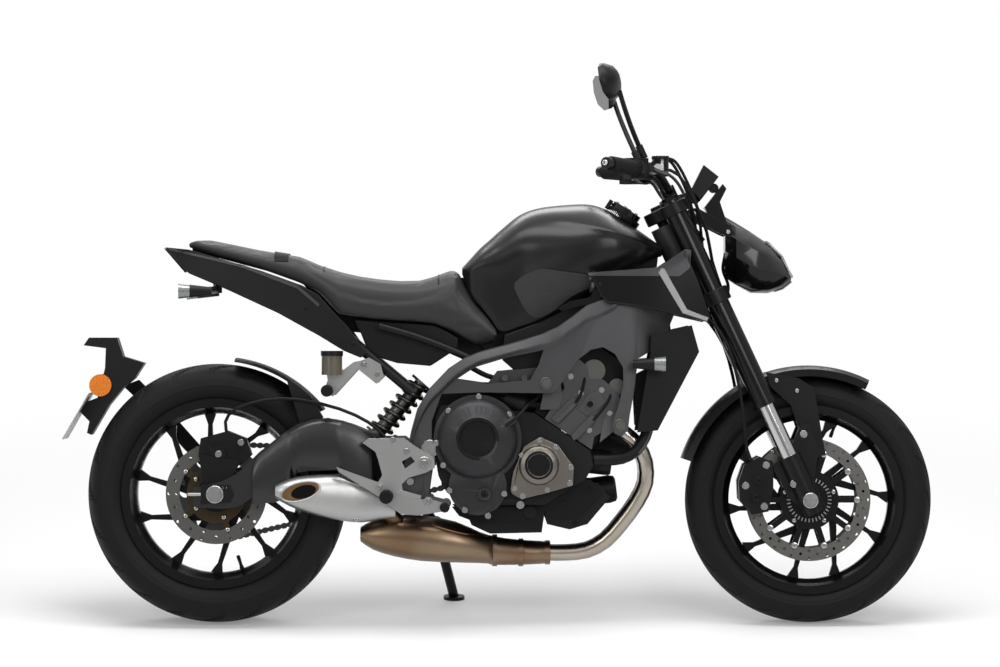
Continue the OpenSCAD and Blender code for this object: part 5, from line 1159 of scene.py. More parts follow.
    def _reliefs(self) -> None:
        """Raises the cast panels, ribs and bosses on the engine and the foot brackets."""
        shop, shapes = self.shop, Shapes()
        for node, material, lift, sides, outline in (
                ("cylinder_head", 0, 0.003, (-1, 1), ((0.9, 0.556), (0.926, 0.566), (0.945, 0.537),
                                                      (0.9, 0.505), (0.878, 0.52))),
                ("cylinder_head", 0, 0.006, (-1,), ((0.822, 0.488), (0.832, 0.496), (0.874, 0.543),
                                                    (0.864, 0.549), (0.85, 0.537), (0.814, 0.5))),
                ("cylinder_head", 0, 0.006, (-1,), ((0.868, 0.445), (0.878, 0.453), (0.92, 0.5),
                                                    (0.91, 0.506), (0.896, 0.494), (0.86, 0.457))),
                ("crankcase", 1, 0.004, (-1, 1), ((0.79, 0.322), (0.842, 0.323), (0.87, 0.35), (0.908, 0.35),
                                                  (0.94, 0.318), (0.885, 0.262), (0.846, 0.252),
                                                  (0.8, 0.262))),
                ("crankcase", 1, 0.003, (-1, 1), ((0.572, 0.285), (0.76, 0.285), (0.752, 0.25), (0.64, 0.243),
                                                  (0.59, 0.262))),
                ("foot_rests", 2, 0.003, (-1, 1), ((0.358, 0.44), (0.372, 0.451), (0.42, 0.45),
                                                   (0.438, 0.434), (0.408, 0.416), (0.392, 0.416))),
                ("foot_rests", 2, 0.004, (-1, 1), ((0.44, 0.318), (0.448, 0.327), (0.5, 0.313),
                                                   (0.497, 0.304)))):
            for side in sides:
                shapes.panel(shop, node, outline, side, lift, 0.006, material, True)
        for z in (0.298, 0.31):
            for side in SIDES:
                shapes.panel(shop, "crankcase", ((0.6, z), (0.73, z), (0.73, z + 0.004), (0.6, z + 0.004)),
                             side, 0.002, 0.004, 1, True)
        shop.emit(shapes.bm, "cast_reliefs", [HEAD_GREY, ENGINE_BLACK, CAST_ALLOY], "chassis", bevel=0.0018)

    def _trays(self) -> None:
        """Closes the space under the seat and the tank with the battery tray and inner shields."""
        shapes = Shapes()
        for half, outline in (
                (0.03, ((-0.06, 0.905), (0.2, 0.835), (0.31, 0.71), (0.5, 0.69), (0.6, 0.645), (0.7, 0.66),
                        (0.705, 0.7), (0.69, 0.74), (0.64, 0.8), (0.6, 0.84), (0.585, 0.84), (0.56, 0.76),
                        (0.35, 0.77), (0.225, 0.855), (-0.06, 0.925))),
                (0.05, ((0.62, 0.7), (0.76, 0.765), (0.93, 0.825), (1.04, 0.87), (1.03, 0.8), (0.94, 0.755),
                        (0.76, 0.7), (0.66, 0.655))),
                (0.05, ((1.0, 0.85), (1.07, 0.86), (1.075, 0.905), (1.0, 0.89))),
                (0.08, ((1.04, 0.735), (1.1, 0.745), (1.105, 0.7), (1.04, 0.66))),
                (0.06, ((0.89, 0.69), (1.0, 0.69), (1.02, 0.55), (0.98, 0.55), (0.93, 0.63))),
                (0.045, ((0.84, 0.5), (0.94, 0.5), (1.01, 0.46), (1.04, 0.44), (1.02, 0.41), (0.9, 0.405),
                         (0.86, 0.43))),
                (0.09, ((1.012, 0.6), (1.05, 0.62), (1.046, 0.47), (1.018, 0.48))),
                (0.04, ((0.53, 0.43), (0.515, 0.5), (0.56, 0.585), (0.79, 0.585), (0.86, 0.5), (0.83, 0.46),
                        (0.72, 0.52), (0.6, 0.53)))):
            shapes.plate(outline, -half, half)
        for radius, count, path in (
                (0.009, 12, ((0.93, 0.085, 0.47), (0.97, 0.09, 0.452), (1.01, 0.09, 0.44),
                             (1.05, 0.085, 0.452))),
                (0.017, 16, ((0.87, 0.1, 0.398), (0.905, 0.108, 0.396), (0.935, 0.11, 0.396))),
                (0.006, 10, ((0.62, 0.1, 0.62), (0.66, 0.098, 0.6), (0.72, 0.09, 0.585)))):
            for side in SIDES:
                shapes.tube([(x, side * y, z) for x, y, z in path], radius, count, 1)
        self.shop.emit(shapes.bm, "inner_trays", [MATTE_PLASTIC, SOFT_RUBBER], "chassis", bevel=0.002)

    @staticmethod
    def _head_finish(c: Vector, n: Vector) -> int:
        """Bright cam plugs and dark inner block."""
        if abs(c.y) < HEAD_SIDE_Y:
            return 2
        return int(any(within(c, plug) for plug in CAM_PLUGS))

    @staticmethod
    def _rest_finish(c: Vector, n: Vector) -> int:
        """Dark pins and a smoked reservoir on bright brackets."""
        if c.y < -0.118 and math.hypot(c.x - 0.283, c.y + 0.15) < 0.03 and 0.6 < c.z < 0.665:
            return 1 if c.z > 0.648 else 2
        return int(abs(c.y) > 0.1715 or 0.1275 < abs(c.y) < 0.1575)

    def _bolts(self) -> None:
        """Bolts the covers, the mounts and the brackets."""
        shop, shapes = self.shop, Shapes()
        for node, radius, head, material, sides, spots in (
                ("clutch_cover", 0.0052, Head.HEX, 0, (-1,),
                 ((0.638, 0.551), (0.565, 0.517), (0.535, 0.439), (0.552, 0.386), (0.567, 0.325),
                 (0.604, 0.278), (0.66, 0.264), (0.699, 0.317), (0.711, 0.508))),
                ("clutch_cover", 0.009, Head.BUTTON, 1, (-1,), ((0.652, 0.316),)),
                ("pickup_cover", 0.005, Head.HEX, 0, (-1,),
                 ((0.784, 0.445), (0.824, 0.429), (0.86, 0.381), (0.858, 0.343), (0.803, 0.327),
                 (0.744, 0.312), (0.7245, 0.33), (0.7415, 0.41))),
                ("left_covers", 0.0052, Head.HEX, 0, (1,),
                 tuple((0.72 + 0.084 * math.cos(0.3 + 0.9 * k), 0.43 + 0.084 * math.sin(0.3 + 0.9 * k))
                 for k in range(7))),
                ("left_covers", 0.0052, Head.HEX, 0, (1,),
                 ((0.548, 0.44), (0.6, 0.466), (0.611, 0.345), (0.556, 0.335))),
                ("cylinder_head", 0.0075, Head.SOCKET, 1, (-1, 1), ((0.907, 0.533),)),
                ("cylinder_head", 0.0055, Head.HEX, 0, (-1, 1),
                 ((0.86, 0.6), (0.885, 0.56), (0.935, 0.567), (0.955, 0.51), (0.905, 0.47))),
                ("main_frame", 0.011, Head.HEX, 2, (-1, 1), ((0.8, 0.583), (0.978, 0.482))),
                ("main_frame", 0.008, Head.SOCKET, 2, (-1, 1), ((0.701, 0.596), (0.748, 0.596))),
                ("main_frame", 0.016, Head.HEX, 0, (-1, 1), ((0.52, 0.425),)),
                ("crankcase", 0.007, Head.HEX, 0, (-1,), ((0.738, 0.29),)),
                ("crankcase", 0.006, Head.SOCKET, 1, (-1, 1),
                 ((0.842, 0.296), (0.905, 0.325), (0.873, 0.245), (0.598, 0.303), (0.66, 0.303))),
                ("foot_rests", 0.0075, Head.SOCKET, 0, (-1, 1), ((0.463, 0.42), (0.43, 0.447), (0.5, 0.33))),
                ("foot_rests", 0.006, Head.SOCKET, 0, (-1, 1), ((0.36, 0.63), (0.392, 0.606))),
                ("air_scoops", 0.0055, Head.BUTTON, 1, (-1, 1), ((0.9306, 0.822), (1.1, 0.74))),
                ("rear_caliper", 0.0085, Head.SOCKET, 0, (-1,), ((0.008, 0.412), (0.062, 0.44))),
                ("muffler", 0.0065, Head.BUTTON, 0, (-1,), ((0.341, 0.254),)),
                ("rear_panels", 0.0045, Head.BUTTON, 1, (-1, 1), ((0.22, 0.765), (0.335, 0.68)))):
            shapes.bolts(shop, node, radius, head, material, sides, spots)
        for x, z, r in ((0.506, 0.39, 0.017), (0.399, 0.333, 0.0115), (0.516, 0.299, 0.0115),
                        (0.36, 0.63, 0.01)):
            for side in SIDES:
                at = shop.side_hit("foot_rests", x, z, side)
                if at is not None:
                    shapes.spin([(0.0, 0.002), (0.72 * r, 0.002), (0.76 * r, 0.005), (0.94 * r, 0.005),
                                 (r, 0.004), (r, -0.002)],
                                at, (0.0, side, 0.0), 28, 3)
                    shapes.bolt(at + Vector((0.0, side * 0.002, 0.0)), (0.0, side, 0.0), 0.55 * r,
                                Head.SOCKET, 0)
        shop.emit(shapes.bm, "chassis_bolts", [ZINC, SATIN_BLACK, DARK_STEEL, CAST_ALLOY], "chassis")

    def _rubbers(self) -> None:
        """Slips ribbed rubber over the pegs, the pedals and the lever."""
        shapes = Shapes()
        for x, z, low, high, radius in ((0.416, 0.312, 0.19, 0.2705, 0.0165),
                                        (0.272, 0.566, 0.146, 0.2138, 0.0145),
                                        (0.556, 0.285, 0.182, 0.2138, 0.012)):
            for side in SIDES:
                count = max(4, round((high - low) / 0.008))
                step = (high - low) / count
                profile = [(0.004, 0.0)]
                for k in range(count):
                    profile += [(radius - 0.003, k * step + 0.0004), (radius, k * step + step * 0.3),
                                (radius, k * step + step * 0.7),
                                (radius - 0.003, k * step + step - 0.0004)]
                profile.append((0.004, high - low))
                shapes.spin(profile, (x, side * low, z), (0.0, side, 0.0), 20)
        self.shop.emit(shapes.bm, "peg_rubbers", [SOFT_RUBBER], "chassis")

    def _adjusters(self) -> None:
        """Adds the chain adjusters with their marks and the axle nuts."""
        shapes = Shapes()
        for side in SIDES:
            hit = self.shop.side_hit("swingarm", 0.03, 0.325, side)
            y = hit.y if hit is not None else side * 0.14
            shapes.plate([(-0.034, 0.292), (0.036, 0.296), (0.046, 0.315), (0.036, 0.338), (-0.034, 0.338)],
                         y - side * 0.002, y + side * 0.005, 1)
            shapes.bolt((0.0, y + side * 0.005, 0.315), (0.0, side, 0.0), 0.0155, Head.HEX, 0)
            shapes.tube([(-0.034, y + side * 0.001, 0.315), (-0.066, y + side * 0.001, 0.315)], 0.0045, 10, 0,
                        1)
            for x in (0.012, 0.02, 0.028):
                shapes.block((x, y + side * 0.0052, 0.331), (0.0014, 0.0008, 0.006), material=0)
        self.shop.emit(shapes.bm, "chain_adjusters", [ZINC, SATIN_BLACK], "chassis", bevel=0.0006)

    def _plumbing(self) -> None:
        """Adds the clutch cable, leads, hoses and canisters round the engine."""
        shapes = Shapes()
        for radius, count, path in (
                (0.004, 10, ((0.704, -0.186, 0.483), (0.735, -0.186, 0.507), (0.76, -0.155, 0.535),
                             (0.79, -0.122, 0.56), (0.83, -0.1, 0.64))),
                (0.0035, 8, ((0.871, -0.139, 0.536), (0.884, -0.141, 0.556), (0.893, -0.13, 0.59),
                             (0.895, -0.105, 0.64))),
                (0.0035, 8, ((0.914, -0.139, 0.494), (0.93, -0.141, 0.512), (0.955, -0.13, 0.55),
                             (0.96, -0.105, 0.6))),
                (0.008, 12, ((0.69, -0.1, 0.545), (0.74, -0.105, 0.532), (0.79, -0.105, 0.528),
                             (0.826, -0.118, 0.52))),
                (0.006, 10, ((0.62, -0.09, 0.552), (0.66, -0.1, 0.56), (0.7, -0.1, 0.556)))):
            shapes.tube(path, radius, count)
        shapes.spin([(0.0, 0.0), (0.024, 0.0), (0.026, 0.006), (0.026, 0.05), (0.02, 0.056), (0.0, 0.056)],
                    (0.7, -0.11, 0.548), (0.9, 0.0, -0.35), 24, 1)
        shapes.spin([(0.0, 0.0), (0.03, 0.0), (0.0335, 0.003), (0.034, 0.05), (0.031, 0.064), (0.024, 0.068),
                     (0.0, 0.068)],
                    (0.905, 0.0, 0.318), (0.93, 0.0, 0.12), 32, 1)
        shapes.spin([(0.0, 0.0), (0.03, 0.0), (0.03, 0.055), (0.026, 0.06), (0.0, 0.06)], (0.9, -0.07, 0.395),
                    (0.95, 0.0, -0.1), 28, 1)
        self.shop.emit(shapes.bm, "engine_lines", [SOFT_RUBBER, ENGINE_BLACK], "chassis")


@dataclass(frozen=True)
class TankSkin:
    """The tank's form: rows of X, low Z, high Z and half width, and two sections of height and width shares."""

    rows: tuple[tuple[float, float, float, float], ...] = (
        (0.597, 0.848, 0.864, 0.07), (0.616, 0.798, 0.885, 0.092), (0.64, 0.772, 0.911, 0.1),
        (0.665, 0.742, 0.933, 0.105),
        (0.692, 0.71, 0.957, 0.109), (0.738, 0.722, 0.993, 0.117), (0.787, 0.74, 1.01, 0.132),
        (0.86, 0.778, 1.018, 0.15),
        (0.909, 0.806, 1.018, 0.156), (0.948, 0.832, 1.006, 0.154), (0.982, 0.848, 0.986, 0.146),
        (1.031, 0.872, 0.953, 0.118),
        (1.062, 0.886, 0.931, 0.09), (1.082, 0.892, 0.916, 0.071))
    front: tuple[tuple[float, float], ...] = ((0, 0.8), (0.12, 0.9), (0.32, 0.98), (0.5, 1), (0.64, 0.97),
                                              (0.76, 0.84), (0.9, 0.56),
                                              (0.975, 0.27), (1, 0))
    rear: tuple[tuple[float, float], ...] = ((0, 0.86), (0.12, 0.9), (0.32, 0.92), (0.52, 0.95), (0.7, 1),
                                             (0.84, 0.9), (0.93, 0.64),
                                             (0.982, 0.32), (1, 0))
    crease: tuple[tuple[float, float], ...] = ((0.79, 0.984), (0.86, 0.975), (0.957, 0.953), (1.055, 0.919),
                                               (1.09, 0.902))
    steps: int = 6
    ledge: float = 0.0045
    ledge_above: float = 0.03
    ledge_below: float = 0.007
    ledge_fade: float = 0.05

    def _ledge(self, x: float, z: float) -> float:
        """Returns how far the shoulder's crease stands out at a place."""
        for (x0, z0), (x1, z1) in zip(self.crease, self.crease[1:]):
            if x0 <= x < x1:
                off = z - (z0 + (z1 - z0) * (x - x0) / (x1 - x0))
                fade = min(1.0, (x - self.crease[0][0]) / self.ledge_fade)
                spread = self.ledge_above if off > 0 else self.ledge_below
                return fade * self.ledge * math.exp(-(off / spread) ** 2)
        return 0.0

    def mesh(self) -> BMesh:
        """Bends a grid round the rows.

        Returns:
            The closed skin.
        """
        rows = spline(self.rows, self.steps)
        front = spline([(*p, 0.0) for p in self.front], self.steps)
        rear = spline([(*p, 0.0) for p in self.rear], self.steps)
        half = len(front)
        bm = bmesh.new()
        around = 2 * half
        bmesh.ops.create_grid(bm, x_segments=len(rows) - 1, y_segments=around, size=1.0)
        for vert in bm.verts:
            x, low, high, wide = rows[grid_step(vert.co.x, len(rows))]
            k = grid_step(vert.co.y, around + 1)
            turn = max(0.0, min(1.0, (x - 0.68) / 0.22))
            if k in (0, around):
                vert.co = (x, 0.0, low)
                continue
            side, i = (-1, k - 1) if k <= half else (1, around - 1 - k)
            up, out = rear[i].lerp(front[i], turn * turn * (3 - 2 * turn)).xy
            z = low + (high - low) * up
            y = max(0.0, out) * wide
            vert.co = (x, side * (y + (self._ledge(x, z) if y > 0.02 else 0.0)), z)
        bmesh.ops.remove_doubles(bm, verts=bm.verts, dist=1e-5)
        bmesh.ops.holes_fill(bm, edges=[e for e in bm.edges if e.is_boundary], sides=0)
        return bm


@dataclass
class Bodywork:
    """Tank, covers, seat, tail and lamps."""

    shop: Workshop

    def build(self) -> None:
        """Builds the bodywork."""
        dress = self.shop.dress
        dress("tank_covers", "knee_covers", [PRESSED_PLASTIC], bevel=0.0, sharp=50.0)
        dress("air_scoops", "scoop_skins", [GLOSS_BLACK], bevel=0.004)
        dress("rear_panels", "tail_panels", [MATTE_PLASTIC], bevel=0.003)
        dress("marker_lamps", "lamps", [CLEAR_LENS, MATTE_PLASTIC, AMBER, RED_LENS], self._lamp_finish,
              bevel=0.002,
              cuts=[(Vector((x, 0.0, 0.0)), Vector((1.0, 0.0, 0.0))) for x in (TAIL_LENS_X, FRONT_LENS_X)])
        dress("rear_fenders", "rear_guards", [MATTE_PLASTIC], bevel=0.002)
        dress("number_plate", "plate_blank_sheet", [PLATE_GREY], bevel=0.0005)
        dress("fuel_cap", "filler_cap", [GLOSS_BLACK], bevel=0.003)
        self._tank()
        self._trim()
        seat = self._seat()
        self._strap(seat)
        self._cap_fittings()

    @staticmethod
    def _lamp_finish(c: Vector, n: Vector) -> int:
        """Lenses on the pods, black stalks, amber reflectors and a red tail lens."""
        if c.x > 0.6:
            return int(c.x < FRONT_LENS_X)
        if c.z < 0.62:
            return 2
        if abs(c.y) < 0.075 and c.z > 0.8:
            return 3 if n.x < -0.2 or n.z < -0.3 else 1
        return int(c.x > TAIL_LENS_X)

    def _tank(self) -> None:
        """Stretches a smooth skin over the tank's rows and keeps its filler neck."""
        shop = self.shop
        shapes = Shapes()
        shapes.add(TankSkin().mesh(), 0)
        neck = shop.copy("fuel_tank")

        def outside(centre: Vector) -> bool:
            """Tells whether a face lies away from the neck."""
            rel = centre - FILLER_FOOT
            along = rel.dot(FILLER_OUT)
            return along < -0.004 or (rel - FILLER_OUT * along).length > 0.066

        far = [f for f in neck.faces if outside(f.calc_center_median())]
        bmesh.ops.delete(neck, geom=far, context="FACES")
        bmesh.ops.holes_fill(neck, edges=[e for e in neck.edges if e.is_boundary], sides=0)
        shapes.add(neck, 1)
        piece = shop.emit(shapes.bm, "tank_skin", [SATIN_PAINT, MATTE_PLASTIC], "chassis", sharp=30.0)
        shop.stand_in(piece, "fuel_tank")

    def _trim(self) -> None:
        """Adds a grey strip along each scoop's top edge as a painted reflection, a pale strip down each scoop's
        front, the panels' steps and the tail's trim.
        """
        shop, shapes = self.shop, Shapes()
        for node, material, lift, outline in (
                # The first scoop strip is a painted reflection: cast grey laid where light reflects along the
                # scoop's top edge.
                ("air_scoops", 0, 0.0022, ((0.9, 0.85), (1.07, 0.863), (1.135, 0.907), (1.15, 0.905),
                                           (1.147, 0.862), (1.122, 0.842), (0.905, 0.843))),
                ("air_scoops", 1, 0.0026, ((1.063, 0.8635), (1.082, 0.865), (1.14, 0.762), (1.192, 0.742),
                                           (1.188, 0.734), (1.129, 0.753))),
                ("rear_panels", 0, 0.0015, ((-0.115, 0.912), (0.06, 0.872), (0.2, 0.82), (0.27, 0.76),
                                            (0.266, 0.754), (0.197, 0.813), (0.058, 0.866), (-0.113, 0.906))),
                ("tank_covers", 2, 0.0025, ((0.905, 0.845), (0.93, 0.82), (0.905, 0.79), (0.86, 0.782),
                                            (0.83, 0.765), (0.84, 0.757), (0.88, 0.77), (0.93, 0.78),
                                            (0.95, 0.82), (0.915, 0.858)))):
            for side in SIDES:
                shapes.panel(shop, node, outline, side, lift, 0.004, material)
        shop.emit(shapes.bm, "body_trim_and_painted_reflection", [CAST_GREY, PALE_TRIM, GLOSS_BLACK], "chassis", bevel=0.0008)

    def _seat(self) -> bpy.types.Object:
        """Fills the seat like foam under a stretched cover.

        Returns:
            The seat.
        """
        shop = self.shop
        bm = shop.copy("seat")
        piece = shop.emit(bm, "seat_skin", [VINYL], "chassis")
        shop.stand_in(piece, "seat")
        cover = piece.modifiers.new("even_cover", "REMESH")
        cover.mode = "VOXEL"
        cover.voxel_size = 0.005
        cover.use_smooth_shade = True
        soft = piece.modifiers.new("soft_edges", "SMOOTH")
        soft.factor = 0.5
        soft.iterations = 8
        self._apply(piece)
        self._fill(piece)
        skin = piece.modifiers.new("smooth_skin", "SUBSURF")
        skin.levels = skin.render_levels = 1
        return piece

    @staticmethod
    def _apply(piece: bpy.types.Object) -> None:
        """Turns the modified form into the piece's own mesh."""
        graph = bpy.context.evaluated_depsgraph_get()
        graph.update()
        mesh = bpy.data.meshes.new_from_object(piece.evaluated_get(graph), preserve_all_data_layers=True,
                                               depsgraph=graph)
        piece.modifiers.clear()
        piece.data = mesh
        for face in mesh.polygons:
            face.use_smooth = True

    def _fill(self, piece: bpy.types.Object) -> None:
        """Presses the cover outwards while its base stays pinned.

        Args:
            piece: The seat, whose mesh is moved by at most 5 mm.
        """
        back = self.shop.back
        base = piece.vertex_groups.new(name="base")
        mesh = piece.data
        rest = [v.co.copy() for v in mesh.vertices]
        held = [v.index for v in mesh.vertices if (back.to_3x3() @ v.normal).z < -0.25]
        base.add(held, 1.0, "REPLACE")
        cloth = piece.modifiers.new("cover_cloth", "CLOTH")
        for key, value in {
                "quality": 5, "mass": 0.4, "tension_stiffness": 40.0, "compression_stiffness": 40.0,
                "shear_stiffness": 20.0, "bending_stiffness": 2.0, "use_pressure": True,
                "uniform_pressure_force": 4.0, "vertex_group_mass": base.name}.items():
            setattr(cloth.settings, key, value)
        cloth.settings.effector_weights.gravity = 0.0
        cloth.point_cache.frame_start = 1
        cloth.point_cache.frame_end = FILL_FRAMES
        scene = bpy.context.scene
        for frame in range(1, FILL_FRAMES + 1):
            scene.frame_set(frame)
        graph = bpy.context.evaluated_depsgraph_get()
        shown = piece.evaluated_get(graph).data
        moved = [v.co.copy() for v in shown.vertices]
        scene.frame_set(1)
        piece.modifiers.clear()
        for vert, start, end in zip(mesh.vertices, rest, moved):
            step = end - start
            vert.co = start + step * min(1.0, MOST_SWELL / max(step.length, SNAP ** 2))
        mesh.update()

    def _strap(self, seat: bpy.types.Object) -> None:
        """Lays the strap and the seams on the seat."""
        graph = bpy.context.evaluated_depsgraph_get()
        graph.update()
        tree = BVHTree.FromObject(seat, graph)
        stance, back = self.shop.stance, self.shop.back
        shapes = Shapes()

        def top(x: float, y: float) -> Vector | None:
            """Finds the seat's top at a place of the bike frame."""
            down = stance.matrix.to_3x3() @ Vector((0.0, 0.0, -1.0))
            hit, _, _, _ = tree.ray_cast(stance.place((x, y, 1.2)), down)
            return back @ hit if hit is not None else None

        shapes.drape(4, 28, lambda u, v: top(0.159 + u * 0.017, v * 0.112), Vector((0.0, 0.0, 0.0035)))
        shapes.stiffen(0.003)
        for x in (0.262, 0.54):
            line = [top(x, -0.1 + 0.2 * k / 16) for k in range(17)]
            line = [p for p in line if p is not None]
            if len(line) > 3:
                shapes.tube(line, 0.0016, 8, 1, 2)
        self.shop.emit(shapes.bm, "seat_strap", [SOFT_RUBBER, MATTE_PLASTIC], "chassis")

    def _cap_fittings(self) -> None:
        """Adds the cap's screws and key flap."""
        out = FILLER_OUT
        along = Vector((math.cos(FILLER_TILT), 0.0, -math.sin(FILLER_TILT)))
        shapes = Shapes()
        centre = self.shop.reach("fuel_cap", FILLER_FOOT + out * 0.3, -out)
        if centre is None:
            return
        for k in range(5):
            a = TAU * (k + 0.5) / 5
            shapes.bolt(centre + along * 0.029 * math.cos(a) + Vector((0.0, 0.029 * math.sin(a), 0.0)), out,
                        0.0036, Head.SOCKET, 0)
        shapes.spin([(0.0, 0.003), (0.009, 0.003), (0.0105, 0.0015), (0.0105, -0.001)], centre, out, 20, 1)
        self.shop.emit(shapes.bm, "cap_fittings", [ZINC, DARK_STEEL], "fuel_cap")


@dataclass
class Fork:
    """Fork, front guard and brakes."""

    shop: Workshop

    def build(self) -> None:
        """Builds the front end below the bars."""
        dress = self.shop.dress
        dress("fork_clamps", "yokes", [SATIN_BLACK], bevel=0.003)
        dress("fork_tubes", "fork_outers", [FORK_BLACK], bevel=0.0015)
        dress("fork_sliders", "fork_legs", [CHROME, SATIN_BLACK], self._leg_finish, bevel=0.002)
        dress("front_fender", "front_guard", [GUARD_BLACK, SATIN_BLACK], lambda c,
              n: int(abs(c.y) > 0.075 and c.z < 0.56), bevel=0.002)
        dress("front_brakes", "front_calipers", [SATIN_BLACK, SOFT_RUBBER], lambda c, n: int(c.z > 0.41),
              bevel=0.002)
        self._bolts()

    @staticmethod
    def _leg_finish(c: Vector, n: Vector) -> int:
        """Chrome on the sliding tube and black on the foot casting."""
        up = Vector((-math.sin(RAKE), 0.0, math.cos(RAKE)))
        rel = c - FRONT_AXLE
        along = rel.dot(up)
        off = rel - up * along
        return int(not (math.hypot(off.x, abs(c.y) - FORK_Y) < 0.024 and along > 0.13))

    def _bolts(self) -> None:
        """Bolts the calipers, the feet, the guard, the headlight and the axle ends."""
        shop, shapes = self.shop, Shapes()
        for node, radius, head, material, spots in (
                ("front_brakes", 0.0085, Head.SOCKET, 1, ((1.316, 0.347), (1.309, 0.306))),
                ("front_brakes", 0.0065, Head.HEX, 0, ((1.335, 0.385), (1.33, 0.285), (1.285, 0.335))),
                ("fork_sliders", 0.0065, Head.HEX, 0, ((1.425, 0.46), (1.4, 0.34))),
                ("front_fender", 0.006, Head.BUTTON, 0, ((1.4247, 0.4734), (1.4442, 0.425), (1.41, 0.565),
                                                         (1.36, 0.59))),
                ("headlight", 0.006, Head.BUTTON, 0, ((1.16, 0.995), (1.243, 0.95)))):
            shapes.bolts(shop, node, radius, head, material, SIDES, spots)
        for side in SIDES:
            shapes.bolt((FRONT_AXLE.x, side * 0.142, FRONT_AXLE.z), (0.0, side, 0.0), 0.0135, Head.HEX, 0)
        self.shop.emit(shapes.bm, "steering_bolts", [ZINC, SATIN_BLACK], "steering")


